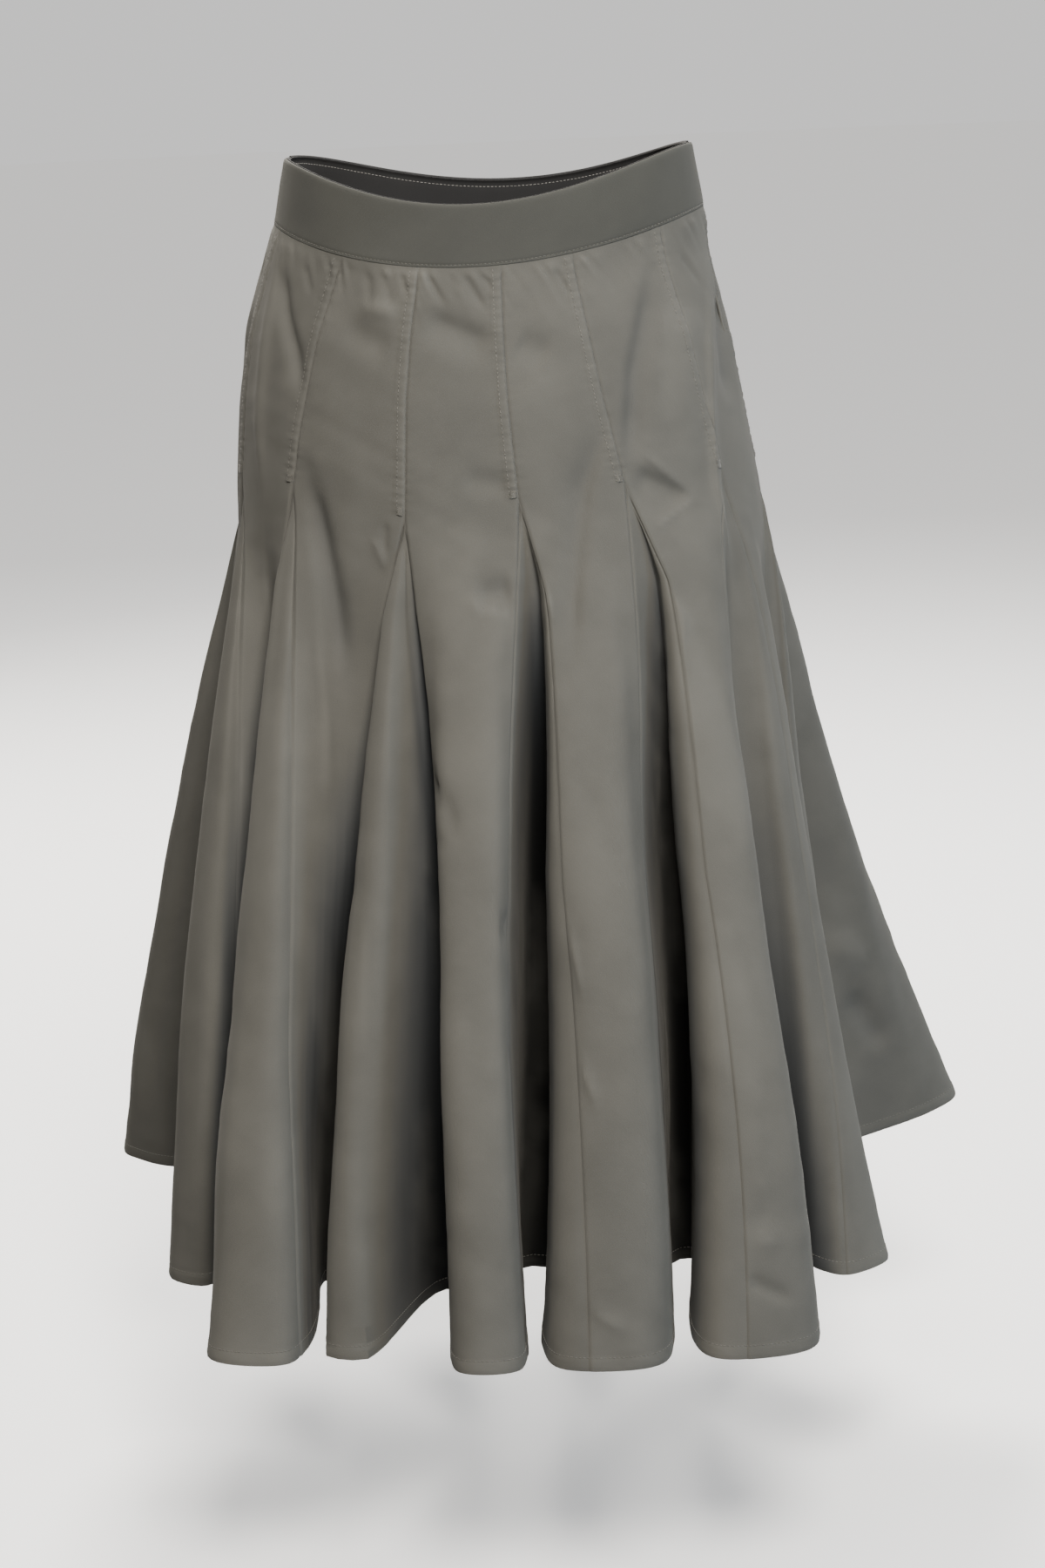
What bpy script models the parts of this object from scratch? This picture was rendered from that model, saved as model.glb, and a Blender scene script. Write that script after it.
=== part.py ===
"""Gored maxi skirt with a godet in every seam, filled out as if worn, with nobody in it.

Metres, +Z up. The origin is the middle of the waist ring, half way up the band at the sides.
The front faces -Y and +X is the wearer's left. Angles run from the front (0) through +X (90) to the
back (180). The cloth is a wall built inward from one outer surface:

  waist to hip   an ellipse at each height, cut into gores by the seam lines;
  hip to hem     every point runs from its place at the hip through a folded curve half way down
                 to a folded curve at the hem. A godet's points all start from its apex.
"""
import bpy
import numpy as np

SKIRT = "maxi_skirt"

# Cloth
CLOTH_WALL = 0.0012
BAND_WALL = 0.0020
FACING_WALL = 0.0010
SEAM_GAP = 0.0003
ZIP_WALL = 0.0010

# Waistband: top and foot heights at the sides, and how far they dip at the front and back
BAND_TOP_SIDE = 0.030
BAND_TOP_DIP_FRONT = 0.0345
BAND_TOP_DIP_BACK = 0.0281
BAND_TOP_CURVE = 2.6
BAND_FOOT_SIDE = -0.018
BAND_FOOT_DIP = 0.032

# Way down from the apexes: where the folded curves lie, and how softly it starts sideways and outward
HEM_LEVEL = -0.8345
MIDDLE_SHARE = 0.45
SIDEWAYS_EASE = 0.010
OUTWARD_EASE = 0.07
APEX_BLEND = 0.13
GODET_FOLD = 0.20
SLOPE_STEP = 0.02
SWING_SHARE = 0.12

# Body of the skirt above the godets: height, half width, half depth, middle of the width
BODY = (
    (0.034, 0.1578, 0.1055, 0.0000),
    (-0.020, 0.1683, 0.1120, -0.0015),
    (-0.050, 0.1750, 0.1165, -0.0060),
    (-0.100, 0.1900, 0.1280, -0.0080),
    (-0.150, 0.1990, 0.1370, -0.0080),
    (-0.217, 0.2080, 0.1450, -0.0050),
    (-0.300, 0.2190, 0.1530, -0.0030),
)

# Godet k, let in after gore k. Seam angle at the band foot and at the apex (degrees), apex height,
# then where the godet starts and ends on the middle and hem curves, counted in folds, and how
# far its left and right seams swing out sideways just below the apex.
GODETS = (
    (9.6, 10.4, -0.220, 0.20, 0.91, 0.20, 0.96, 0.000, 0.010),
    (27.7, 34.1, -0.213, 1.23, 1.925, 1.24, 1.955, 0.000, 0.0155),
    (56.0, 63.0, -0.212, 2.22, 2.99, 2.24, 2.89, -0.006, 0.006),
    (90.0, 92.0, -0.215, 3.52, 4.64, 3.39, 4.61, -0.006, 0.006),
    (121.0, 121.0, -0.217, 5.08, 5.66, 4.91, 5.54, -0.006, 0.006),
    (146.6, 147.0, -0.219, 6.12, 6.60, 5.86, 6.54, -0.006, 0.006),
    (169.0, 169.0, -0.220, 7.01, 7.52, 6.82, 7.49, -0.006, 0.006),
    (191.0, 191.0, -0.219, 7.90, 8.49, 7.77, 8.45, -0.006, 0.006),
    (213.4, 214.0, -0.217, 8.82, 9.44, 8.70, 9.39, -0.006, 0.006),
    (239.0, 239.0, -0.215, 9.76, 10.37, 9.65, 10.31, -0.006, 0.006),
    (270.0, 266.0, -0.213, 10.69, 11.24, 10.58, 11.25, -0.006, 0.006),
    (294.0, 289.0, -0.211, 11.52, 12.21, 11.46, 12.27, -0.006, 0.006),
    (326.5, 317.0, -0.210, 12.62, 13.17, 12.60, 13.16, -0.017, -0.002),
    (349.2, 346.2, -0.233, 13.48, 14.74, 13.50, 14.74, -0.010, -0.002),
)

# Folds: crest angle and reach, breadth of the tube, angle, reach and breadth of the valley after it
MIDDLE_FOLDS = (
    (-1.2, 0.242, 0.053, 15.0, 0.149, 0.012),
    (20.4, 0.252, 0.076, 46.5, 0.189, 0.014),
    (41.8, 0.277, 0.060, 60.5, 0.208, 0.014),
    (70.0, 0.249, 0.040, 81.0, 0.207, 0.018),
    (90.0, 0.235, 0.030, 101.0, 0.205, 0.020),
    (113.7, 0.274, 0.060, 127.0, 0.195, 0.020),
    (140.0, 0.268, 0.050, 151.0, 0.170, 0.020),
    (162.0, 0.256, 0.050, 173.0, 0.160, 0.020),
    (184.0, 0.250, 0.045, 195.0, 0.160, 0.020),
    (206.0, 0.256, 0.050, 218.0, 0.175, 0.020),
    (231.0, 0.272, 0.055, 245.0, 0.200, 0.024),
    (263.0, 0.291, 0.060, 283.0, 0.200, 0.024),
    (302.0, 0.268, 0.035, 307.0, 0.195, 0.014),
    (320.4, 0.268, 0.046, 331.0, 0.182, 0.016),
    (339.5, 0.243, 0.036, 350.2, 0.180, 0.008),
)
HEM_FOLDS = (
    (2.0, 0.353, 0.058, 7.0, 0.165, 0.022),
    (16.0, 0.358, 0.100, 43.0, 0.200, 0.020),
    (34.0, 0.382, 0.095, 60.0, 0.220, 0.030),
    (61.5, 0.327, 0.060, 78.0, 0.225, 0.030),
    (92.0, 0.280, 0.045, 104.0, 0.235, 0.030),
    (120.0, 0.398, 0.095, 132.0, 0.215, 0.030),
    (142.0, 0.360, 0.080, 152.0, 0.190, 0.028),
    (163.0, 0.350, 0.075, 173.0, 0.175, 0.028),
    (184.0, 0.350, 0.070, 194.0, 0.175, 0.028),
    (205.0, 0.355, 0.080, 217.0, 0.190, 0.028),
    (228.0, 0.372, 0.085, 242.0, 0.210, 0.032),
    (256.0, 0.378, 0.092, 283.0, 0.205, 0.040),
    (308.5, 0.326, 0.048, 304.0, 0.224, 0.020),
    (333.7, 0.386, 0.077, 327.0, 0.238, 0.024),
    (343.3, 0.348, 0.042, 350.4, 0.211, 0.018),
)

# Outline of a tube, in half breadths: how far its shoulders and corners lie behind its crest
SHOULDER_DROP = 0.90
CORNER_DROP = 0.19
CORNER_WIDTH = 0.78

# Hem height above its level: fold number, lift
HEM_LIFTS = ((0, 0.0), (4.5, 0.0), (5, 0.028), (6, 0.008), (8, 0.0), (11, 0.008), (12, 0.0), (15, 0.0))

# Colours
COTTON = (0.215, 0.190, 0.138)
FACING = (0.030, 0.031, 0.034)
ZIP_TAPE = (0.160, 0.140, 0.100)
ZIP_METAL = (0.450, 0.430, 0.380)

# Mesh fineness
GORE_COLUMNS = 6
GODET_COLUMNS = 11
HIP_ROWS = (0.0, 0.35, 0.7, 1.0)
SKIRT_ROWS = (0.02, 0.06, 0.13, 0.25, 0.41, 0.58, 0.78, 1.0)
BAND_COLUMNS = 26
ZIP_ROWS = 8

# Rows of the band and of its facing, from the band's top (0) to its foot (1)
BAND_LEVELS = (0.0, 0.5, 1.0)
FACING_LEVELS = (-0.03, 0.5, 0.97)

# Zip in the side seam after gore 4
ZIP_GODET = 3
ZIP_HALF_WIDTH = 0.012
ZIP_CLEARANCE = 0.0014
ZIP_START = 0.002
ZIP_END = -0.190
SLIDER = (0.006, 0.0035, 0.011)


def plan_point(angle, reach):
    """x = reach sin(angle), y = -reach cos(angle)."""
    turn = np.radians(angle)
    return np.stack([reach * np.sin(turn), -reach * np.cos(turn)], -1)


def body_size(height):
    """Half width a, half depth b and middle c of the body at a height, read from BODY."""
    levels, *sizes = np.array(sorted(BODY)).T
    return [np.interp(height, levels, size) for size in sizes]


def body_point(turn, height):
    """(c + a sin t, -b cos t, z), with the body's size a, b, c at height z; t in degrees."""
    half_width, half_depth, middle = body_size(height)
    angle = np.radians(turn)
    return np.stack([middle + half_width * np.sin(angle), -half_depth * np.cos(angle),
                     height + 0 * angle], -1)


def band_heights(turn):
    """Top and foot of the waistband: z = side height - dip |cos t|^power, deeper in front."""
    cosine = np.cos(np.radians(turn))
    dip = np.where(cosine > 0, BAND_TOP_DIP_FRONT, BAND_TOP_DIP_BACK)
    return BAND_TOP_SIDE - dip * np.abs(cosine) ** BAND_TOP_CURVE, BAND_FOOT_SIDE - BAND_FOOT_DIP * cosine**2


def closed_curve(points, steps=40):
    """Catmull-Rom curve round the points, centripetal, with the point numbers along it."""
    before, start, end, after = (np.roll(points, shift, axis=0) for shift in (1, 0, -1, -2))
    share = np.arange(steps)[None, :, None] / steps
    knots = [np.zeros((len(points), 1, 1))]
    for first, second in ((before, start), (start, end), (end, after)):
        knots.append(knots[-1] + np.sqrt(np.linalg.norm(second - first, axis=1))[:, None, None])
    t0, t1, t2, t3 = knots
    t = t1 + (t2 - t1) * share
    p0, p1, p2, p3 = (item[:, None, :] for item in (before, start, end, after))
    a1 = (t1 - t) / (t1 - t0) * p0 + (t - t0) / (t1 - t0) * p1
    a2 = (t2 - t) / (t2 - t1) * p1 + (t - t1) / (t2 - t1) * p2
    a3 = (t3 - t) / (t3 - t2) * p2 + (t - t2) / (t3 - t2) * p3
    b1 = (t2 - t) / (t2 - t0) * a1 + (t - t0) / (t2 - t0) * a2
    b2 = (t3 - t) / (t3 - t1) * a2 + (t - t1) / (t3 - t1) * a3
    return ((t2 - t) / (t2 - t1) * b1 + (t - t1) / (t2 - t1) * b2).reshape(-1, 2)


def fold_curve(folds, steps=40):
    """Closed plan curve: each tube has a crest, two corners and two shoulders, each valley two sides."""
    table = np.array(folds)
    crests = plan_point(table[:, 0], table[:, 1])
    half = table[:, 2:3] / 2
    valleys = plan_point(table[:, 3], table[:, 4])
    left_valleys = np.roll(valleys, 1, axis=0)
    axis = crests - (left_valleys + valleys) / 2
    axis /= np.linalg.norm(axis, axis=1)[:, None]
    side = np.stack([-axis[:, 1], axis[:, 0]], -1)
    side *= np.sign(np.sum(side * (valleys - left_valleys), axis=1))[:, None]
    shoulders = crests - axis * half * SHOULDER_DROP
    corners = crests - axis * half * CORNER_DROP
    across = plan_point(table[:, 3] + 90, table[:, 5] / 2)
    corner_side = side * half * CORNER_WIDTH
    points = [shoulders - side * half, corners - corner_side, crests, corners + corner_side,
              shoulders + side * half, valleys - across, valleys + across]
    return closed_curve(np.stack(points, 1).reshape(-1, 2), steps)


class FoldCurve:
    """A folded plan curve that is read by fold number: i is crest i, i + 0.5 the valley after it."""

    KNOTS = (-0.2, -0.12, 0.0, 0.12, 0.2, 0.47, 0.53)

    def __init__(self, folds, steps=40):
        points = fold_curve(folds, steps)
        closed = np.vstack([points, points[:1]])
        lengths = np.linalg.norm(np.diff(closed, axis=0), axis=1)
        self.arc = np.concatenate([[0.0], np.cumsum(lengths)])
        self.closed = closed
        folds_count = len(folds)
        marks = np.add.outer(np.arange(folds_count), np.array(self.KNOTS)).ravel()
        self.marks = np.append(marks, folds_count + self.KNOTS[0])
        self.mark_arcs = self.arc[np.arange(len(self.marks)) * steps]
        self.folds_count = folds_count

    def arc_at(self, fold):
        """Length along the curve at a fold number, which may run past one round."""
        turns = np.floor((fold - self.marks[0]) / self.folds_count)
        within = fold - turns * self.folds_count
        return np.interp(within, self.marks, self.mark_arcs) + turns * self.arc[-1]

    def at_arc(self, arc):
        arc = np.mod(arc, self.arc[-1])
        return np.stack([np.interp(arc, self.arc, self.closed[:, axis]) for axis in (0, 1)], -1)

    def fold_at(self, arc):
        arc = np.mod(arc, self.arc[-1])
        return np.interp(arc, self.mark_arcs, self.marks)


def hip_columns():
    """Seam angles at foot and apex, apex height, curve lengths and swing for every column.

    A gore's columns run from the godet before it to the godet after it. A godet's columns keep
    its apex and run between its two edges.
    """
    middle, hem = FoldCurve(MIDDLE_FOLDS), FoldCurve(HEM_FOLDS)
    table = np.array(GODETS)
    start = np.stack([table[:, 0], table[:, 1], table[:, 2], middle.arc_at(table[:, 3]),
                      hem.arc_at(table[:, 5]), table[:, 7]], -1)
    end = start.copy()
    end[:, 3] = middle.arc_at(table[:, 4])
    end[:, 4] = hem.arc_at(table[:, 6])
    end[:, 5] = table[:, 8]
    before = np.roll(end, 1, axis=0)
    before[0] -= (360, 360, 0, middle.arc[-1], hem.arc[-1], 0)
    columns = []
    for gore_start, godet_start, godet_end in zip(before, start, end):
        for first, last, count in ((gore_start, godet_start, GORE_COLUMNS),
                                   (godet_start, godet_end, GODET_COLUMNS)):
            share = np.arange(count)[:, None] / count
            columns.append(first + (last - first) * share)
    return np.vstack(columns), middle, hem


def hem_height(arc, hem):
    """Hem level plus a lift that eases between the folds named in HEM_LIFTS."""
    folds, lifts = np.array(HEM_LIFTS).T
    place = np.mod(hem.fold_at(arc), len(HEM_FOLDS))
    span = np.clip(np.searchsorted(folds, place, side="right") - 1, 0, len(folds) - 2)
    share = (place - folds[span]) / (folds[span + 1] - folds[span])
    share = share * share * (3 - 2 * share)
    return HEM_LEVEL + lifts[span] + (lifts[span + 1] - lifts[span]) * share


def skirt_surface():
    """Outer surface as rows of points, from the band foot to the hem, once round.

    Above the apexes: body_point at angles and heights shared out between foot and apex.
    Below them each column runs from its apex point through the middle curve to the hem curve, with
    one ease across the body and a softer one outward, plus the body's own slope, which fades out
    at the middle curve, and the seams' swing, which grows to its full size at SWING_SHARE and is
    gone at the middle curve.
    """
    columns, middle, hem = hip_columns()
    foot_turn, apex_turn, apex, middle_arc, hem_arc, swing = columns.T
    foot = band_heights(foot_turn)[1] - SEAM_GAP
    rows = []
    for share in HIP_ROWS:
        turn = foot_turn + (apex_turn - foot_turn) * share
        rows.append(body_point(turn, foot + (apex - foot) * share))
    top = rows[-1]
    slope = (top - body_point(apex_turn, apex + SLOPE_STEP))[:, :2] / SLOPE_STEP
    stations = np.stack([top[:, :2], middle.at_arc(middle_arc), hem.at_arc(hem_arc)])
    outward = level_normals(top)[:, :2]
    across = np.stack([-outward[:, 1], outward[:, 0]], -1) * swing[:, None]
    bottom = hem_height(hem_arc, hem)
    for share in SKIRT_ROWS:
        down = (apex - bottom) * share
        sideways = np.tensordot(station_shares(share, SIDEWAYS_EASE), stations, 1)
        softer = np.tensordot(station_shares(share, OUTWARD_EASE), stations, 1)
        out = np.sum((softer - sideways) * outward, axis=1)[:, None] * outward
        fading = max(0.0, 1 - share / MIDDLE_SHARE) ** 2
        swung = np.interp(share, (0, SWING_SHARE, MIDDLE_SHARE), (0, 1, 0))
        plan = sideways + out + slope * (down * fading)[:, None] + across * swung
        rows.append(flatten_godets(np.column_stack([plan, apex - down]), share))
    return np.array(rows)


def flatten_godets(row, share):
    """Near its apex a godet is drawn towards the straight line between its two seams."""
    fold = min(1.0, share / GODET_FOLD)
    fold = fold * fold * (3 - 2 * fold)
    closed = np.vstack([row, row[:1]])
    stride = GORE_COLUMNS + GODET_COLUMNS
    part = np.linspace(0, 1, GODET_COLUMNS + 1)[:, None]
    for start in range(GORE_COLUMNS, len(row), stride):
        span = slice(start, start + GODET_COLUMNS + 1)
        straight = closed[start] + (closed[start + GODET_COLUMNS] - closed[start]) * part
        closed[span] = straight + (closed[span] - straight) * fold
    return closed[:-1]


def eased(share, ease):
    """(sqrt(t^2 + e^2) - e) / (sqrt(1 + e^2) - e): a straight run with a rounded start."""
    return (np.sqrt(share**2 + ease**2) - ease) / (np.sqrt(1 + ease**2) - ease)


def station_shares(share, ease):
    """How much of its apex, middle and hem points a point takes on the way down.

    With s the eased share and m its value at the middle curve:
    (s-m)(s-1)/m, s(s-1)/(m(m-1)) and s(s-m)/(1-m).
    """
    s, m = eased(share, ease), eased(MIDDLE_SHARE, ease)
    return np.array([(s - m) * (s - 1) / m, s * (s - 1) / (m * (m - 1)), s * (s - m) / (1 - m)])


def surface_normals(rows):
    """Unit normals by central differences; near the apexes they turn to the body's own normals."""
    around = np.roll(rows, -1, axis=1) - np.roll(rows, 1, axis=1)
    down = np.gradient(rows, axis=0)
    normals = np.cross(down, around)
    length = np.linalg.norm(normals, axis=-1, keepdims=True)
    normals = normals / np.maximum(length, 1e-12)
    shares = np.concatenate([np.zeros(len(HIP_ROWS)), SKIRT_ROWS])
    folded = np.clip(shares / APEX_BLEND, 0, 1)[:, None, None]
    normals = level_normals(rows) * (1 - folded) + normals * folded
    return normals / np.linalg.norm(normals, axis=-1, keepdims=True)


def inset(rows, gap=SEAM_GAP / 2):
    """Each row's points moved in along the row, so that it starts and ends a gap further in."""
    count = rows.shape[1] - 1
    steps = np.linalg.norm(np.diff(rows, axis=1), axis=-1)
    places = np.linspace(0, 1, count + 1) * np.ones((len(rows), 1))
    margin = (gap / np.maximum(steps.sum(axis=1), 4 * gap))[:, None]
    places = (margin + places * (1 - 2 * margin)) * count
    low = np.clip(places.astype(int), 0, count - 1)
    share = (places - low)[..., None]
    line = np.arange(len(rows))[:, None]
    return rows[line, low] * (1 - share) + rows[line, low + 1] * share


def wall(outer, normals, thickness, depth=0.0):
    """Outer and inner grids of a cloth wall that starts at a depth below the surface."""
    return outer - normals * depth, outer - normals * (depth + thickness)


def strip(line):
    """Neighbouring pairs along a line of point numbers."""
    return np.stack([line[:-1], line[1:]], -1)


def closed_panel(name, outer, inner, material, collection):
    """One closed solid between two grids of points: both faces and the rim round them.

    Every quad is split along a diagonal that two neighbouring panels share at their seam.
    """
    rows, columns = outer.shape[:2]
    count = rows * columns
    grid = np.arange(count).reshape(rows, columns)
    outside = np.stack([grid[:-1, :-1], grid[1:, :-1], grid[1:, 1:], grid[:-1, 1:]], -1).reshape(-1, 4)
    inside = outside[:, ::-1] + count
    edges = [strip(grid[0]), strip(grid[:, -1]), strip(grid[-1, ::-1])]
    rim = [np.column_stack([edge, edge[:, ::-1] + count]) for edge in edges]
    left = strip(grid[::-1, 0])
    rim.append(np.column_stack([left[:, 1], left[:, ::-1] + count, left[:, 0]]))
    quads = np.concatenate([outside, inside[:, [1, 2, 3, 0]], *rim])
    triangles = np.concatenate([quads[:, [0, 1, 2]], quads[:, [0, 2, 3]]])
    mesh = bpy.data.meshes.new(name)
    mesh.from_pydata(np.concatenate([outer, inner]).reshape(-1, 3).tolist(), [], triangles.tolist())
    mesh.validate()
    mesh.materials.append(material)
    mesh.shade_smooth()
    mesh.set_sharp_from_angle(angle=np.radians(40))
    panel = bpy.data.objects.new(name, mesh)
    collection.objects.link(panel)
    return panel


def cloth_material(name, colour, roughness, metallic=0.0):
    material = bpy.data.materials.new(name)
    material.use_nodes = True
    shader = material.node_tree.nodes["Principled BSDF"]
    shader.inputs["Base Color"].default_value = (*colour, 1.0)
    shader.inputs["Roughness"].default_value = roughness
    shader.inputs["Metallic"].default_value = metallic
    return material


def make_panels(rows, normals, collection):
    """Fourteen gores from the band foot to the hem, and fourteen godets from their apexes."""
    closed_rows = np.concatenate([rows, rows[:, :1]], axis=1)
    closed_normals = np.concatenate([normals, normals[:, :1]], axis=1)
    godet_top = len(HIP_ROWS)
    stride = GORE_COLUMNS + GODET_COLUMNS
    for number in range(len(GODETS)):
        gore_span = slice(number * stride, number * stride + GORE_COLUMNS + 1)
        godet_span = slice(number * stride + GORE_COLUMNS, (number + 1) * stride + 1)
        for kind, span, top in (("gore", gore_span, 0), ("godet", godet_span, godet_top)):
            name = f"{kind}_{number + 1:02d}"
            material = cloth_material(name, COTTON, 0.85)
            outer = inset(closed_rows[top:, span])
            outer, inner = wall(outer, closed_normals[top:, span], CLOTH_WALL)
            closed_panel(name, outer, inner, material, collection)


def ring_half(front, levels):
    """Body points of the front or the back half between two height functions' rows."""
    centre = 0.0 if front else 180.0
    end = 90.0 - np.degrees(SEAM_GAP / 2 / BODY[0][2])
    turn = centre + np.linspace(-end, end, BAND_COLUMNS + 1)
    top, foot = band_heights(turn)
    return np.array([body_point(turn, top + (foot - top) * share) for share in levels])


def level_normals(rows):
    """Outward normals of the body's ellipses: ((x - c) / a^2, y / b^2, 0), to unit length."""
    half_width, half_depth, middle = body_size(rows[..., 2])
    normals = np.stack([(rows[..., 0] - middle) / half_width**2, rows[..., 1] / half_depth**2,
                        0 * half_width], -1)
    return normals / np.linalg.norm(normals, axis=-1, keepdims=True)


def make_band(collection):
    """Waistband and its facing, each in a front and a back half that meet at the side seams."""
    for side, front in (("front", True), ("back", False)):
        rows = ring_half(front, BAND_LEVELS)
        normals = level_normals(rows)
        outer, inner = wall(rows, normals, BAND_WALL)
        closed_panel(f"waistband_{side}", outer, inner, cloth_material(f"waistband_{side}", COTTON, 0.85),
                     collection)
        rows = ring_half(front, FACING_LEVELS)
        outer, inner = wall(rows, level_normals(rows), FACING_WALL, BAND_WALL + SEAM_GAP)
        closed_panel(f"facing_{side}", outer, inner, cloth_material(f"facing_{side}", FACING, 0.9),
                     collection)


def make_zip(collection):
    """Closed concealed zip behind the side seam, and its slider at the top, on the inside."""
    foot_turn, apex_turn = GODETS[ZIP_GODET][:2]
    foot = band_heights(np.array(foot_turn))[1]
    height = np.linspace(foot - ZIP_START, ZIP_END, ZIP_ROWS)[:, None]
    turn = foot_turn + (apex_turn - foot_turn) * (height - foot) / (GODETS[ZIP_GODET][2] - foot)
    spread = np.degrees(ZIP_HALF_WIDTH / BODY[3][2]) * np.array([-1.0, -0.5, 0.0, 0.5, 1.0])
    rows = body_point(turn + spread, height + 0 * spread)
    normals = level_normals(rows)
    outer, inner = wall(rows, normals, ZIP_WALL, CLOTH_WALL + ZIP_CLEARANCE)
    closed_panel("zip", outer, inner, cloth_material("zip", ZIP_TAPE, 0.8), collection)
    seat = inner[1, 2] - normals[1, 2] * (ZIP_CLEARANCE + SLIDER[1] / 2)
    bpy.ops.mesh.primitive_cube_add(size=1.0, location=seat)
    slider = bpy.context.object
    slider.name = "zip_slider"
    slider.dimensions = (SLIDER[1], SLIDER[0], SLIDER[2])
    bpy.ops.object.transform_apply(location=False, rotation=False, scale=True)
    edge = slider.modifiers.new("Rounded edges", "BEVEL")
    edge.width = 0.0008
    edge.segments = 2
    slider.data.materials.append(cloth_material("zip_slider", ZIP_METAL, 0.4, 1.0))
    for holder in list(slider.users_collection):
        holder.objects.unlink(slider)
    collection.objects.link(slider)


def main():
    for item in list(bpy.data.objects):
        bpy.data.objects.remove(item)
    collection = bpy.data.collections.new(SKIRT)
    bpy.context.scene.collection.children.link(collection)
    rows = skirt_surface()
    make_panels(rows, surface_normals(rows), collection)
    make_band(collection)
    make_zip(collection)


main()
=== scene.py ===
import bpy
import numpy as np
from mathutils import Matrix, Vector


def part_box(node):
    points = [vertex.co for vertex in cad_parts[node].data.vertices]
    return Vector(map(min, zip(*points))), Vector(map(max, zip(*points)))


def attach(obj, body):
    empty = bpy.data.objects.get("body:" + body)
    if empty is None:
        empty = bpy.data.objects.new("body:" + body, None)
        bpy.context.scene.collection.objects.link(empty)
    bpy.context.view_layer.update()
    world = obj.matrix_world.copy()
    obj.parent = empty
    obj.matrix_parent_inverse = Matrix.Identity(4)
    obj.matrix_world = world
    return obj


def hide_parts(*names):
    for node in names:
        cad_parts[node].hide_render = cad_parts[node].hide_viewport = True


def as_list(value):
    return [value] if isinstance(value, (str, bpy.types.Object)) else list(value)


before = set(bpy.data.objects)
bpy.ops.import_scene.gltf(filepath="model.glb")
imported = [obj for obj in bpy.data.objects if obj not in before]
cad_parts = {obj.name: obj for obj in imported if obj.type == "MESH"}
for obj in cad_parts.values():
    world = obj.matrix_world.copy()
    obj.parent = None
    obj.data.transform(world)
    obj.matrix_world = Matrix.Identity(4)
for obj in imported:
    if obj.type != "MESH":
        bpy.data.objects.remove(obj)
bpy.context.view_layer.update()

# Looks of a gored maxi skirt with a godet let into every seam, filled out as if worn.
#
# Metres, +Z up. The front faces -Y and +X is the wearer's left. Angles run from the front (0)
# through +X (90) to the back (180). Fourteen gores hang from the waistband. Gore 1 is the centre
# front, and godet k is let in between gore k and gore k + 1.
#
# The whole skirt is one grid of points, read by row (band foot to hem) and column (once round).
# Relief is worked out on that grid along its normals: seams, stitching, puckers, creases and the
# hem. Each panel is then cut out of it as a closed wall, so neighbours share their seam exactly.

# Cloth
CLOTH_WALL = 0.0011
HEM_TURN_UP = 0.011
SEAM_GAP = 0.0003
BAND_WALL = 0.0020
FACING_WALL = 0.0010

# Waistband: top and foot heights at the sides, and how far they dip at the front and back
BAND_TOP_SIDE = 0.030
BAND_TOP_DIP_FRONT = 0.0345
BAND_TOP_DIP_BACK = 0.0281
BAND_TOP_CURVE = 2.6
BAND_FOOT_SIDE = -0.018
BAND_FOOT_DIP = 0.032

# Waistband: its height and mean radius, the width it is cut to, where its folded foot rounds off,
# how far down the band's and the facing's topstitching lie, and how far up the facing's top rolls
BAND_HEIGHT = 0.047
BAND_RADIUS = 0.14
BAND_EDGE = 0.0475
BAND_STITCH = 0.0452
FACING_STITCH = 0.0052
FACING_LIFT = {"front": 0.0004, "back": 0.0012}

# Way down from the apexes: where the folded curves lie, how softly it starts sideways and outward,
# how far down the normals and the godets' folds reach their full size, over what height the
# body's slope is taken, and how far down the seams' swing is full
HEM_LEVEL = -0.8345
MIDDLE_SHARE = 0.45
SIDEWAYS_EASE = 0.010
OUTWARD_EASE = 0.10
APEX_BLEND = 0.13
GODET_FOLD = 0.06
SLOPE_STEP = 0.02
SWING_SHARE = 0.12

# Painted shade in the folds, darkened into the cloth's colour: how many columns are looked past
# on each side, in what steps, and the angles (radians) of the outside in view at which a fold
# counts as open and as shut
FOLD_WINDOW = 210
FOLD_STEP = 3
OPEN_FOLD = 1.80
SHUT_FOLD = 0.35

# Body of the skirt above the godets: height, half width, half depth, middle of the width
BODY = (
    (0.034, 0.1578, 0.1055, 0.0000),
    (-0.020, 0.1683, 0.1120, -0.0015),
    (-0.050, 0.1750, 0.1165, -0.0060),
    (-0.100, 0.1900, 0.1280, -0.0080),
    (-0.150, 0.1990, 0.1370, -0.0080),
    (-0.217, 0.2080, 0.1450, -0.0050),
    (-0.300, 0.2190, 0.1530, -0.0030),
)
BODY_SMOOTHING = 0.012

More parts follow.
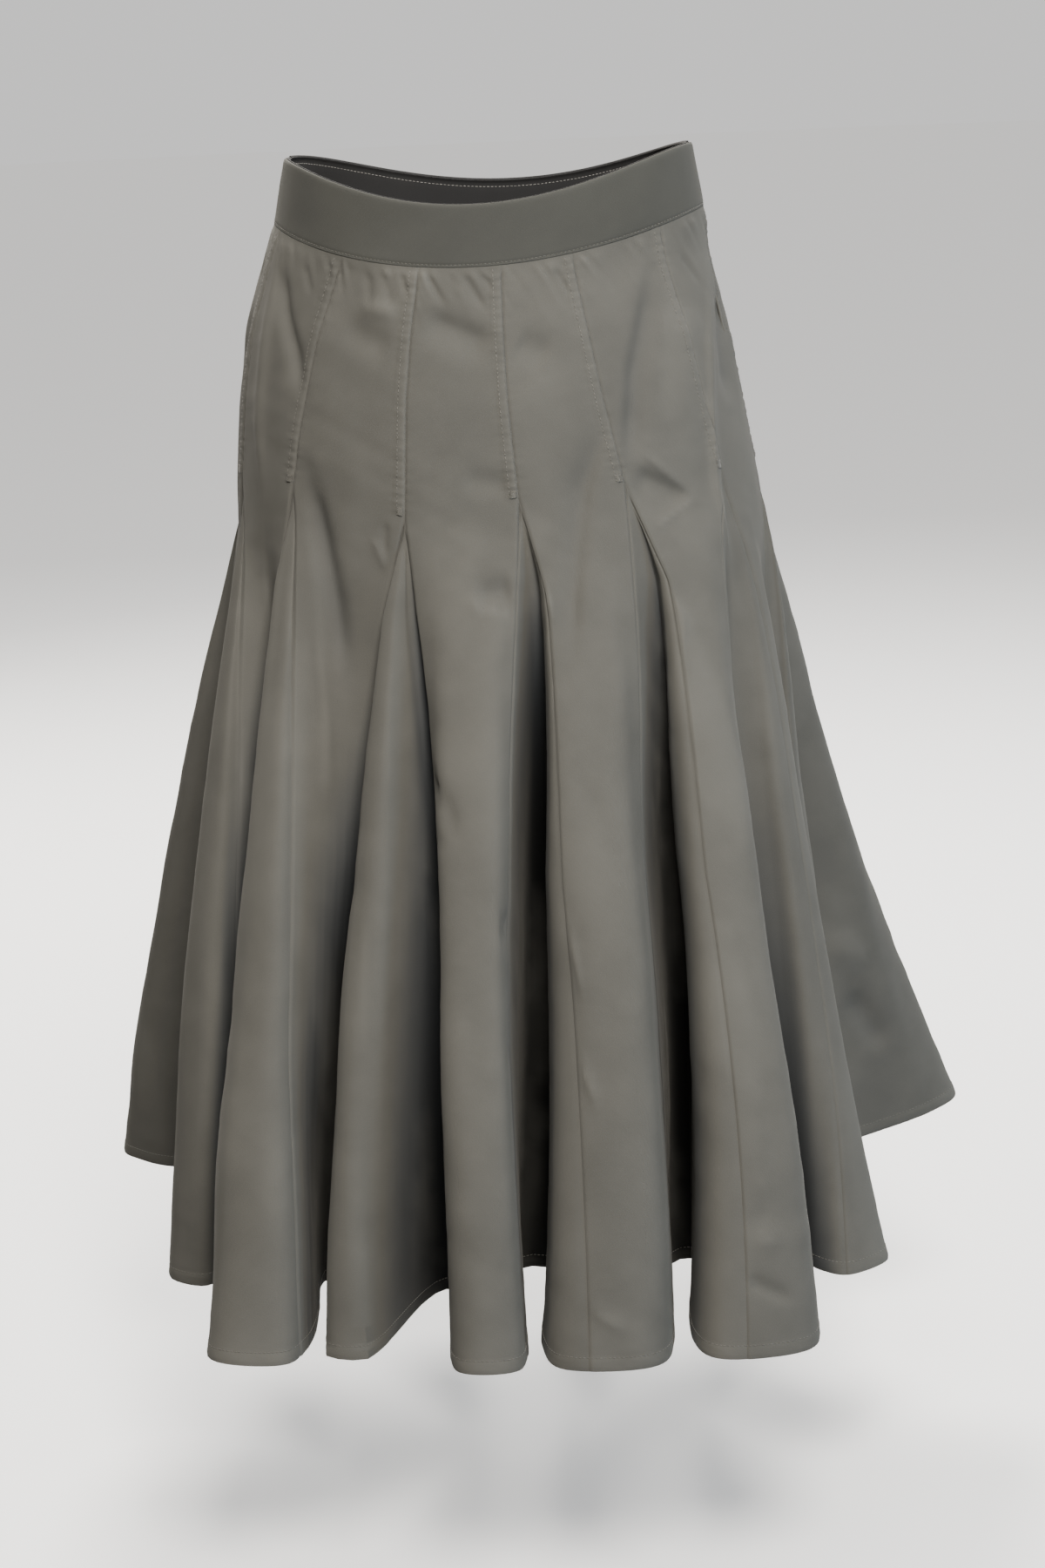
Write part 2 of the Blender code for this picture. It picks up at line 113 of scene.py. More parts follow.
# Godet k, let in after gore k. Seam angle at the band foot and at the apex (degrees), apex height,
# then where the godet starts and ends on the middle and hem curves, counted in folds, and how
# far its left and right seams swing out sideways just below the apex.
GODETS = (
    (9.6, 10.4, -0.220, 0.20, 0.91, 0.20, 0.96, 0.000, 0.010),
    (27.7, 34.1, -0.213, 1.23, 1.925, 1.24, 1.955, 0.000, 0.0155),
    (56.0, 63.0, -0.212, 2.22, 2.99, 2.24, 2.89, -0.006, 0.006),
    (90.0, 92.0, -0.215, 3.52, 4.64, 3.39, 4.61, -0.006, 0.006),
    (121.0, 121.0, -0.217, 5.08, 5.66, 4.91, 5.54, -0.006, 0.006),
    (146.6, 147.0, -0.219, 6.12, 6.60, 5.86, 6.54, -0.006, 0.006),
    (169.0, 169.0, -0.220, 7.01, 7.52, 6.82, 7.49, -0.006, 0.006),
    (191.0, 191.0, -0.219, 7.90, 8.49, 7.77, 8.45, -0.006, 0.006),
    (213.4, 214.0, -0.217, 8.82, 9.44, 8.70, 9.39, -0.006, 0.006),
    (239.0, 239.0, -0.215, 9.76, 10.37, 9.65, 10.31, -0.006, 0.006),
    (270.0, 266.0, -0.213, 10.69, 11.24, 10.58, 11.25, -0.006, 0.006),
    (294.0, 289.0, -0.211, 11.52, 12.21, 11.46, 12.27, -0.006, 0.006),
    (326.5, 317.0, -0.210, 12.62, 13.17, 12.60, 13.16, -0.017, -0.002),
    (349.2, 346.2, -0.233, 13.48, 14.74, 13.50, 14.74, -0.010, -0.002),
)

# Folds: crest angle and reach, breadth of the tube, angle, reach and breadth of the valley after it
MIDDLE_FOLDS = (
    (-1.2, 0.242, 0.053, 15.0, 0.149, 0.012),
    (20.4, 0.252, 0.076, 46.5, 0.189, 0.014),
    (41.8, 0.277, 0.060, 60.5, 0.208, 0.014),
    (70.0, 0.249, 0.040, 81.0, 0.207, 0.018),
    (90.0, 0.235, 0.030, 101.0, 0.205, 0.020),
    (113.7, 0.274, 0.060, 127.0, 0.195, 0.020),
    (140.0, 0.268, 0.050, 151.0, 0.170, 0.020),
    (162.0, 0.256, 0.050, 173.0, 0.160, 0.020),
    (184.0, 0.250, 0.045, 195.0, 0.160, 0.020),
    (206.0, 0.256, 0.050, 218.0, 0.175, 0.020),
    (231.0, 0.272, 0.055, 245.0, 0.200, 0.024),
    (263.0, 0.291, 0.060, 283.0, 0.200, 0.024),
    (302.0, 0.268, 0.035, 307.0, 0.195, 0.014),
    (320.4, 0.268, 0.046, 331.0, 0.182, 0.016),
    (339.5, 0.243, 0.036, 350.2, 0.180, 0.008),
)
HEM_FOLDS = (
    (2.0, 0.353, 0.058, 7.0, 0.165, 0.022),
    (16.0, 0.358, 0.100, 43.0, 0.200, 0.020),
    (34.0, 0.382, 0.095, 60.0, 0.220, 0.030),
    (61.5, 0.327, 0.060, 78.0, 0.225, 0.030),
    (92.0, 0.280, 0.045, 104.0, 0.235, 0.030),
    (120.0, 0.398, 0.095, 132.0, 0.215, 0.030),
    (142.0, 0.360, 0.080, 152.0, 0.190, 0.028),
    (163.0, 0.350, 0.075, 173.0, 0.175, 0.028),
    (184.0, 0.350, 0.070, 194.0, 0.175, 0.028),
    (205.0, 0.355, 0.080, 217.0, 0.190, 0.028),
    (228.0, 0.372, 0.085, 242.0, 0.210, 0.032),
    (256.0, 0.378, 0.092, 283.0, 0.205, 0.040),
    (308.5, 0.326, 0.048, 304.0, 0.224, 0.020),
    (333.7, 0.386, 0.077, 327.0, 0.238, 0.024),
    (343.3, 0.348, 0.042, 350.4, 0.211, 0.018),
)

# Section of a tube, in half breadths: how far the shoulders and the corners lie below the crest,
# and how far out the corners lie; then folds and how far the hem is lifted there
SHOULDER_DROP = 0.90
CORNER_DROP = 0.19
CORNER_WIDTH = 0.78
HEM_LIFTS = ((0, 0.0), (4.5, 0.0), (5, 0.028), (6, 0.008), (8, 0.0), (11, 0.008), (12, 0.0), (15, 0.0))

# Fineness of the grid, and the row of a band half along which its length is measured
GORE_COLUMNS = 36
GODET_COLUMNS = 48
HIP_ROWS = 78
SKIRT_ROWS = 104
BAND_COLUMNS = 180
BAND_MEASURED_ROW = 10

# Sewing: the felled allowance and the hem's stitching, how far seams dip above and below the
# apexes and a godet is set back, then the stitches, the thread's radius and the bar tacks
FELL_WIDTH = 0.0078
FELL_STITCH = FELL_WIDTH - 0.0012
FELL_RISE = 0.00055
HEM_STITCH = HEM_TURN_UP - 0.001
SEAM_DIP = 0.0007
SEAM_DIP_BELOW = 0.0010
GODET_SET_BACK = 0.0024
STITCH_LENGTH = 0.0023
STITCH_GAP = 0.0009
THREAD = 0.00027
TACK_LENGTH = 0.0055
TACK_LIFT = 0.001
TACK_THREADS = 12

# Creases: how many breadths they reach, the share of their length over which each end fades, and
# the depth from which a trough gets painted shade, the depth more for full painted shade, and the
# most of it
CREASE_REACH = 3.2
CREASE_FADE = 0.28
SHADE_FROM = 0.004
SHADE_DEPTH = 0.012
SHADE_MOST = 0.18

# Zip behind the side seam, as in the part: godet row, end height, clearance to the cloth and the
# tape's wall; then the coil's pitch and width, and the pull's length, wall and gap to the slider
ZIP_GODET = 3
ZIP_END = -0.190
ZIP_CLEARANCE = 0.0014
ZIP_WALL = 0.0010
COIL_PITCH = 0.0011
COIL_WIDTH = 0.0042
PULL_LENGTH = 0.016
PULL_WALL = 0.0007
PULL_GAP = 0.0002

# Camera: place, degrees towards the wearer's left, down and rolled, and its lens on 36 mm
CAMERA_PLACE = (0.32608, -2.27678, 0.12)
CAMERA_AZIMUTH = 8.0
CAMERA_PITCH = 14.6026
CAMERA_ROLL = -2.5
CAMERA_LENS = 66.51

# Setting: floor height and radius, the point that the lights look at, then each light's name,
# place, size, power and colour
FLOOR_LEVEL = -1.06
FLOOR_RADIUS = 30
AIM = (0, 0, -0.4)
LIGHTS = (
    ("key", (0.62, -2.05, 1.75), 1.0, 180, (1.0, 0.955, 0.885)),
    ("side", (2.9, -1.3, -0.6), 1.0, 36, (0.44, 0.70, 1.0)),
    ("behind", (-0.5, 2.2, 1.6), 1.0, 165, (1.0, 0.96, 0.90)),
    ("behind left", (2.3, 2.2, 0.4), 1.2, 48, (0.95, 0.97, 1.0)),
    ("behind right", (-2.3, 2.2, 0.4), 1.2, 48, (1.0, 0.95, 0.88)),
)

# Colours: base, light and dark of each cloth, the painted shade of a fold and of its depth, the
# threads and the metal; then how far apart each cloth's ribs lie
COTTON = ((0.087, 0.085, 0.0765), (0.097, 0.0945, 0.085), (0.077, 0.0755, 0.068))
# The band's cotton is the skirt's cotton painted darker and a little cooler, as painted shade on the
# upright band
BAND_COTTON_IN_PAINTED_SHADE = ((0.053, 0.0535, 0.0485), (0.058, 0.0585, 0.053), (0.048, 0.0485, 0.044))
FACING = ((0.026, 0.026, 0.027), (0.028, 0.028, 0.029), (0.024, 0.024, 0.025))
# Painted shade: cool grey in a fold's shade, near black in its depth
PAINTED_SHADE_COLOUR = (0.052, 0.058, 0.066)
PAINTED_DEEP_SHADE_COLOUR = (0.0018, 0.0020, 0.0022)
THREAD_COLOUR = (0.106, 0.102, 0.088)
FACING_THREAD_COLOUR = (0.200, 0.195, 0.185)
METAL_COLOUR = (0.45, 0.43, 0.38)
COTTON_RIB = 0.0011
FACING_RIB = 0.0009


# Shape of the skirt

def plan_point(angle, reach):
    """x = reach sin(angle), y = -reach cos(angle)."""
    turn = np.radians(angle)
    return np.stack([reach * np.sin(turn), -reach * np.cos(turn)], -1)


def body_size(height):
    """Half width a, half depth b and middle c at a height: BODY, averaged over a short run of heights."""
    levels, *sizes = np.array(sorted(BODY)).T
    offsets = BODY_SMOOTHING * np.array([-1.0, -0.5, 0.0, 0.5, 1.0])
    weights = np.array([1, 3, 4, 3, 1]) / 12
    return [sum(weight * np.interp(height + offset, levels, size)
                for weight, offset in zip(weights, offsets)) for size in sizes]


def body_point(turn, height):
    """(c + a sin t, -b cos t, z), with the body's size a, b, c at height z; t in degrees."""
    half_width, half_depth, middle = body_size(height)
    angle = np.radians(turn)
    return np.stack([middle + half_width * np.sin(angle), -half_depth * np.cos(angle),
                     height + 0 * angle], -1)


def level_normals(points):
    """Outward normals of the body's ellipses: ((x - c) / a^2, y / b^2, 0), to unit length."""
    half_width, half_depth, middle = body_size(points[..., 2])
    normals = np.stack([(points[..., 0] - middle) / half_width**2, points[..., 1] / half_depth**2,
                        0 * half_width], -1)
    return unit(normals)


def unit(vectors):
    """Each vector over its own length."""
    return vectors / np.maximum(np.linalg.norm(vectors, axis=-1, keepdims=True), 1e-12)


def smooth_step(value):
    """0 up to 0, 3 t^2 - 2 t^3 between, 1 from 1 on."""
    value = np.clip(value, 0, 1)
    return value * value * (3 - 2 * value)


def bell(distance, breadth):
    """exp(-(distance / breadth)^2)."""
    return np.exp(-(distance / breadth) ** 2)


def band_heights(turn):
    """Top and foot of the waistband: z = side height - dip |cos t|^power, deeper in front."""
    cosine = np.cos(np.radians(turn))
    dip = np.where(cosine > 0, BAND_TOP_DIP_FRONT, BAND_TOP_DIP_BACK)
    top = BAND_TOP_SIDE - dip * np.abs(cosine) ** BAND_TOP_CURVE
    return top, BAND_FOOT_SIDE - BAND_FOOT_DIP * cosine**2


def closed_curve(points, steps):
    """Centripetal Catmull-Rom curve round the points, with the same number of steps between each two.

    Its knots are the square roots of the gaps, added up. Neighbours are blended three times, each
    time by (b - t) / (b - a) and (t - a) / (b - a) between the knots a and b that they span.
    """
    items = [np.roll(points, shift, axis=0)[:, None, :] for shift in (1, 0, -1, -2)]
    knots = [np.zeros((len(points), 1, 1))]
    for first, second in zip(items, items[1:]):
        knots.append(knots[-1] + np.sqrt(np.linalg.norm(second - first, axis=2))[:, :, None])
    t = knots[1] + (knots[2] - knots[1]) * (np.arange(steps)[None, :, None] / steps)
    for spans in (((0, 1), (1, 2), (2, 3)), ((0, 2), (1, 3)), ((1, 2),)):
        items = [(knots[b] - t) / (knots[b] - knots[a]) * first
                 + (t - knots[a]) / (knots[b] - knots[a]) * second
                 for (a, b), first, second in zip(spans, items, items[1:])]
    return items[0].reshape(-1, 2)


def fold_curve(folds, steps):
    """Closed plan curve: each tube has a crest, two corners and two shoulders, each valley two sides."""
    table = np.array(folds)
    crests = plan_point(table[:, 0], table[:, 1])
    half = table[:, 2:3] / 2
    valleys = plan_point(table[:, 3], table[:, 4])
    left_valleys = np.roll(valleys, 1, axis=0)
    axis = unit(crests - (left_valleys + valleys) / 2)
    side = np.stack([-axis[:, 1], axis[:, 0]], -1)
    side *= np.sign(np.sum(side * (valleys - left_valleys), axis=1))[:, None]
    shoulders = crests - axis * half * SHOULDER_DROP
    corners = crests - axis * half * CORNER_DROP
    corner_side = side * half * CORNER_WIDTH
    across = plan_point(table[:, 3] + 90, table[:, 5] / 2)
    points = [shoulders - side * half, corners - corner_side, crests, corners + corner_side,
              shoulders + side * half, valleys - across, valleys + across]
    return closed_curve(np.stack(points, 1).reshape(-1, 2), steps)


class FoldCurve:
    """A folded plan curve that is read by fold number: i is crest i, i + 0.5 the valley after it."""

    KNOTS = (-0.2, -0.12, 0.0, 0.12, 0.2, 0.47, 0.53)

    def __init__(self, folds, steps=40):
        points = fold_curve(folds, steps)
        self.closed = np.vstack([points, points[:1]])
        lengths = np.linalg.norm(np.diff(self.closed, axis=0), axis=1)
        self.arc = np.concatenate([[0.0], np.cumsum(lengths)])
        self.count = len(folds)
        marks = np.add.outer(np.arange(self.count), np.array(self.KNOTS)).ravel()
        self.marks = np.append(marks, self.count + self.KNOTS[0])
        self.mark_arcs = self.arc[np.arange(len(self.marks)) * steps]

    def arc_at(self, fold):
        """Length along the curve at a fold number, which may run past one round."""
        turns = np.floor((fold - self.marks[0]) / self.count)
        return np.interp(fold - turns * self.count, self.marks, self.mark_arcs) + turns * self.arc[-1]

    def at_arc(self, arc):
        arc = np.mod(arc, self.arc[-1])
        return np.stack([np.interp(arc, self.arc, self.closed[:, axis]) for axis in (0, 1)], -1)

    def fold_at(self, arc):
        return np.interp(np.mod(arc, self.arc[-1]), self.mark_arcs, self.marks)


def drawn_to_ends(count, pull):
    """count + 1 shares from 0 to 1, closer together at both ends: t - pull sin(2 pi t) / (2 pi)."""
    t = np.linspace(0, 1, count + 1)
    return t - pull * np.sin(2 * np.pi * t) / (2 * np.pi)


GORE_SHARES = drawn_to_ends(GORE_COLUMNS, 0.55)
GODET_SHARES = drawn_to_ends(GODET_COLUMNS, 0.45)
HIP_SHARES = drawn_to_ends(HIP_ROWS, 0.25)
SKIRT_SHARES = drawn_to_ends(SKIRT_ROWS, 0.72)[1:]
PANEL_STRIDE = GORE_COLUMNS + GODET_COLUMNS
MIDDLE_CURVE = FoldCurve(MIDDLE_FOLDS)
HEM_CURVE = FoldCurve(HEM_FOLDS)


def panel_columns(kind, number):
    """Columns of a panel, from its left seam to its right seam; the last may be the grid's first."""
    start = (number - 1) * PANEL_STRIDE + (GORE_COLUMNS if kind == "godet" else 0)
    return np.arange(start, start + (GODET_COLUMNS if kind == "godet" else GORE_COLUMNS) + 1)


def column_table():
    """Seam angle at foot and apex, apex height, lengths along both fold curves and swing."""
    table = np.array(GODETS)
    start = np.stack([table[:, 0], table[:, 1], table[:, 2], MIDDLE_CURVE.arc_at(table[:, 3]),
                      HEM_CURVE.arc_at(table[:, 5]), table[:, 7]], -1)
    end = start.copy()
    end[:, 3] = MIDDLE_CURVE.arc_at(table[:, 4])
    end[:, 4] = HEM_CURVE.arc_at(table[:, 6])
    end[:, 5] = table[:, 8]
    before = np.roll(end, 1, axis=0)
    before[0] -= (360, 360, 0, MIDDLE_CURVE.arc[-1], HEM_CURVE.arc[-1], 0)
    columns = []
    for gore_start, godet_start, godet_end in zip(before, start, end):
        for first, last, shares in ((gore_start, godet_start, GORE_SHARES),
                                    (godet_start, godet_end, GODET_SHARES)):
            columns.append(first + (last - first) * shares[:-1, None])
    return np.vstack(columns)


def hem_height(arc):
    """Hem level plus a lift that eases between the folds named in HEM_LIFTS."""
    folds, lifts = np.array(HEM_LIFTS).T
    place = np.mod(HEM_CURVE.fold_at(arc), len(HEM_FOLDS))
    span = np.clip(np.searchsorted(folds, place, side="right") - 1, 0, len(folds) - 2)
    share = smooth_step((place - folds[span]) / (folds[span + 1] - folds[span]))
    return HEM_LEVEL + lifts[span] + (lifts[span + 1] - lifts[span]) * share


def eased(share, ease):
    """(sqrt(t^2 + e^2) - e) / (sqrt(1 + e^2) - e): a straight run with a rounded start."""
    return (np.sqrt(share**2 + ease**2) - ease) / (np.sqrt(1 + ease**2) - ease)


def station_shares(share, ease):
    """How much of its apex, middle and hem points a point takes on the way down.

    With s the eased share and m its value at the middle curve:
    (s-m)(s-1)/m, s(s-1)/(m(m-1)) and s(s-m)/(1-m).
    """
    s, m = eased(share, ease), eased(MIDDLE_SHARE, ease)
    return np.array([(s - m) * (s - 1) / m, s * (s - 1) / (m * (m - 1)), s * (s - m) / (1 - m)])


def skirt_points():
    """The plain surface, rows by columns, from the band foot to the hem.

    Above the apexes, body_point at angles and heights shared out between foot and apex. Below
    them each column runs from its apex point through the middle curve to the hem curve, with one
    ease across the body and a softer one outward, plus the body's own slope, which fades out,
    and the seams' swing, which is full at SWING_SHARE and gone at the middle curve.
    """
    foot_turn, apex_turn, apex, middle_arc, hem_arc, swing = column_table().T
    foot = band_heights(foot_turn)[1] - SEAM_GAP
    share = HIP_SHARES[:, None]
    hip = body_point(foot_turn + (apex_turn - foot_turn) * share, foot + (apex - foot) * share)
    top = hip[-1]
    slope = (top - body_point(apex_turn, apex + SLOPE_STEP))[:, :2] / SLOPE_STEP
    stations = np.stack([top[:, :2], MIDDLE_CURVE.at_arc(middle_arc), HEM_CURVE.at_arc(hem_arc)])
    outward = level_normals(top)[:, :2]
    across = np.stack([-outward[:, 1], outward[:, 0]], -1) * swing[:, None]
    share = SKIRT_SHARES[:, None]
    down = (apex - hem_height(hem_arc)) * share
    sideways = np.einsum("sr,scx->rcx", station_shares(SKIRT_SHARES, SIDEWAYS_EASE), stations)
    softer = np.einsum("sr,scx->rcx", station_shares(SKIRT_SHARES, OUTWARD_EASE), stations)
    out = np.sum((softer - sideways) * outward, axis=-1, keepdims=True) * outward
    fading = np.maximum(0, 1 - share / MIDDLE_SHARE) ** 2
    swung = np.interp(share, (0, SWING_SHARE, MIDDLE_SHARE), (0, 1, 0))[..., None]
    plan = sideways + out + slope * (down * fading)[..., None] + across * swung
    skirt = flatten_godets(np.concatenate([plan, (apex - down)[..., None]], axis=-1))
    return np.concatenate([hip, skirt])


def flatten_godets(rows):
    """Near its apex a godet is drawn towards the straight line between its two seams."""
    fold = smooth_step(SKIRT_SHARES / GODET_FOLD)[:, None, None]
    closed = np.concatenate([rows, rows[:, :1]], axis=1)
    for number in range(1, len(GODETS) + 1):
        span = panel_columns("godet", number)
        left, right = closed[:, span[:1]], closed[:, span[-1:]]
        straight = left + (right - left) * GODET_SHARES[None, :, None]
        closed[:, span] = straight + (closed[:, span] - straight) * fold
    return closed[:, :-1]


def skirt_normals(rows):
    """Unit normals by central differences; near the apexes they turn to the body's own normals."""
    around = np.roll(rows, -1, axis=1) - np.roll(rows, 1, axis=1)
    normals = unit(np.cross(np.gradient(rows, axis=0), around))
    folded = smooth_step(np.concatenate([np.zeros(len(HIP_SHARES)), SKIRT_SHARES]) / APEX_BLEND)
    folded = folded[:, None, None]
    return unit(level_normals(rows) * (1 - folded) + normals * folded)


class Cloth:
    """The grid of the whole skirt, and how far each of its points lies from seams and edges."""

    def __init__(self):
        self.points = skirt_points()
        self.normals = skirt_normals(self.points)
        rows, count = self.points.shape[:2]
        steps = np.linalg.norm(np.roll(self.points, -1, axis=1) - self.points, axis=-1)
        self.from_left = np.zeros((rows, count))
        self.from_right = np.zeros((rows, count))
        self.is_gore = np.zeros(count, bool)
        self.number = np.zeros(count, int)
        for number in range(1, len(GODETS) + 1):
            for kind in ("gore", "godet"):
                span = panel_columns(kind, number)[:-1]
                lengths = np.cumsum(steps[:, span], axis=1)
                self.from_left[:, span] = lengths - steps[:, span]
                self.from_right[:, span] = lengths[:, -1:] - self.from_left[:, span]
                self.is_gore[span] = kind == "gore"
                self.number[span] = number
        starts = np.isclose(self.from_left, 0) & (np.arange(count) % PANEL_STRIDE == 0)
        self.from_right = np.where(starts, 0, self.from_right)
        along = np.linalg.norm(np.diff(self.points, axis=0), axis=-1)
        self.down = np.concatenate([np.zeros((1, count)), np.cumsum(along, axis=0)])
        self.above_hem = self.down[-1] - self.down
        self.apex_down = self.down[HIP_ROWS]
        self.outer = self.points
        self.relief = np.zeros((rows, count))
        # Mask of the shade painted into the cloth's colour in the folds
        self.painted_fold_shade = self.painted_shade_mask()

    def painted_shade_mask(self):
        """How shut the fold is that a point lies in, from 0 on open cloth to 1: the mask of painted
        shade.

        Within its row, a point sees the outside between the nearest bearings of the cloth on its
        left and on its right, over FOLD_WINDOW columns each way. Bearings are turned from the
        straight line outward: angle = atan2(cross, dot).
        """
        plan = self.points[..., :2]
        outward = unit(plan)
        in_view = np.zeros(plan.shape[:2])
        for side in (-1, 1):
            nearest = np.full(plan.shape[:2], np.pi)
            for step in range(2, FOLD_WINDOW, FOLD_STEP):
                gap = np.roll(plan, -side * step, axis=1) - plan
                cross = outward[..., 0] * gap[..., 1] - outward[..., 1] * gap[..., 0]
                bearing = side * np.arctan2(cross, np.sum(outward * gap, axis=-1))
                bearing = np.where(bearing < -np.pi / 2, np.pi, bearing)
                nearest = np.minimum(nearest, bearing)
            in_view += nearest
        shut = smooth_step((OPEN_FOLD - in_view) / (OPEN_FOLD - SHUT_FOLD))
        shut[:HIP_ROWS] = 0
        return shut

    def place(self, kind, number, across, height):
        """Row and column, as decimals, of a place on a panel given by its share across and its height."""
        shares = GODET_SHARES if kind == "godet" else GORE_SHARES
        column = panel_columns(kind, number)[0] + np.interp(across, shares, np.arange(len(shares)))
        near = int(round(column)) % self.points.shape[1]
        heights = self.points[::-1, near, 2]
        row = len(heights) - 1 - np.interp(height, heights, np.arange(len(heights)))
        return row, column

    def at(self, field, row, column):
        """Value of a field between grid points: straight interpolation both ways."""
        rows, count = self.points.shape[:2]
        row = np.clip(row, 0, rows - 1.001)
        low_row, low_column = np.floor(row).astype(int), np.floor(column).astype(int)
        part_row, part_column = row - low_row, column - low_column
        if field.ndim == 3:
            part_row, part_column = part_row[..., None], part_column[..., None]
        left, right = low_column % count, (low_column + 1) % count
        upper = field[low_row, left] * (1 - part_column) + field[low_row, right] * part_column
        lower = field[low_row + 1, left] * (1 - part_column) + field[low_row + 1, right] * part_column
        return upper * (1 - part_row) + lower * part_row


# Materials

class Value:
    """One socket's output, so that node maths reads as Python. Numbers alone stay in Python."""

    def __init__(self, nodes, socket):
        self.nodes, self.socket = nodes, socket

    def maths(self, operation, *values):
        return self.nodes.add("ShaderNodeMath", {"operation": operation}, dict(enumerate(values)))

    def sine(self):
        return self.maths("SINE", self)

    def __add__(self, other):
        return self.maths("ADD", self, other)

    def __sub__(self, other):
        return self.maths("SUBTRACT", self, other)

    def __mul__(self, other):
        return self.maths("MULTIPLY", self, other)

    def __rsub__(self, other):
        return self.maths("SUBTRACT", other, self)

    __radd__ = __add__
    __rmul__ = __mul__


class Finish:
    """A material whose nodes are added by one method."""

    def __init__(self, name, colour, roughness, **constants):
        self.material = bpy.data.materials.new(name)
        self.material.use_nodes = True
        self.tree = self.material.node_tree
        self.shader = self.tree.nodes["Principled BSDF"]
        self.material.diffuse_color = (*colour, 1)
        self.set("Base Color", (*colour, 1))
        self.set("Roughness", roughness)
        for socket, value in constants.items():
            self.set(socket.replace("_", " "), value)

    def set(self, socket, value):
        self.fill(self.shader.inputs[socket], value)

    def fill(self, socket, value):
        if isinstance(value, Value):
            self.tree.links.new(value.socket, socket)
        else:
            socket.default_value = value

    def add(self, kind, settings=None, values=None, output=0):
        node = self.tree.nodes.new(kind)
        for name, value in (settings or {}).items():
            setattr(node, name, value)
        for name, value in (values or {}).items():
            self.fill(node.inputs[name], value)
        return Value(self, node.outputs[output])

    def mix(self, factor, first, second):
        """First colour at factor 0, second at 1."""
        values = {0: factor, 6: (*first, 1) if isinstance(first, tuple) else first,
                  7: (*second, 1) if isinstance(second, tuple) else second}
        return self.add("ShaderNodeMix", {"data_type": "RGBA"}, values, output=2)

    def noise(self, where, scale, detail=2.0, roughness=0.5):
        values = {"Vector": where, "Scale": scale, "Detail": detail, "Roughness": roughness}
        return self.add("ShaderNodeTexNoise", None, values)

    def bump(self, height, distance, strength=1.0):
        return self.add("ShaderNodeBump", None, {"Height": height, "Distance": distance,
                                                 "Strength": strength})


def cloth_finish(name, colours, rib, sheen):
    """Cotton twill: slanting ribs on the cloth's own grain, mottling, worn ridges and painted fold shade.

    ribs = sin(2 pi (across + 0.7 along) / rib), threads = sin(2 pi along / (0.63 rib)), each bent
    by the slubs.
    """
    colour, light, dark = colours
    finish = Finish(name, colour, 0.86, Sheen_Weight=sheen, Sheen_Roughness=0.5,
                    Sheen_Tint=(0.35, 0.34, 0.31, 1), Specular_IOR_Level=0.08)
    grain = finish.add("ShaderNodeUVMap", {"uv_map": "grain"})
    parts = finish.add("ShaderNodeSeparateXYZ", None, {0: grain})
    across, along = parts, Value(finish, parts.socket.node.outputs[1])
    slub = finish.noise(grain, 900.0, 3.0)
    ribs = ((across + along * 0.7) * (2 * np.pi / rib) + slub * 1.6).sine()
    threads = (along * (2 * np.pi / (rib * 0.63)) + slub).sine()
    mottle = finish.noise(grain, 22.0, 4.0, 0.6)
    fade = finish.noise(grain, 5.5, 2.0)
    wear = finish.add("ShaderNodeAttribute", {"attribute_name": "wear"}, output=2)
    # Mask of the painted shade in the folds, read from the mesh
    painted_fold_shade = finish.add("ShaderNodeAttribute", {"attribute_name": "painted_fold_shade"}, output=2)
    speckle = finish.noise(grain, 1500.0, 2.0, 0.7)
    tone = mottle * 1.5 + fade * 1.1 + speckle * 2.4 - 2.0
    # Painted shade: the random tone turns cool grey as a fold closes, then near black in its depth
    shade = finish.mix(painted_fold_shade, finish.mix(tone, dark, light), PAINTED_SHADE_COLOUR)
    shade = finish.mix(painted_fold_shade * painted_fold_shade, shade, PAINTED_DEEP_SHADE_COLOUR)
    finish.set("Base Color", finish.mix(wear * 0.55, shade, tuple(min(1, c * 1.5) for c in light)))
    finish.set("Roughness", 0.80 + mottle * 0.12)
    height = ribs * 0.30 + threads * 0.18 + slub * 0.5
    finish.set("Normal", finish.bump(height, 0.00012, 0.55))
    return finish.material


def metal_finish():
    """Dull metal, finely brushed."""
    finish = Finish("zip metal", METAL_COLOUR, 0.35, Metallic=1.0)
    where = finish.add("ShaderNodeTexCoord", output=3)
    brushed = finish.noise(where, 1500.0)
    finish.set("Roughness", 0.28 + brushed * 0.2)
    finish.set("Normal", finish.bump(brushed, 0.00005, 0.4))
    return finish.material


def thread_finish(name, colour):
    """Sewing thread: fine twist across its length."""
    finish = Finish(name, colour, 0.7, Sheen_Weight=0.2, Sheen_Roughness=0.4)
    where = finish.add("ShaderNodeTexCoord", output=3)
    twist = finish.noise(where, 4000.0)
    dark = tuple(c * 0.8 for c in colour)
    finish.set("Base Color", finish.mix(twist, dark, colour))
    return finish.material


# Relief on the grid, in metres along the normals

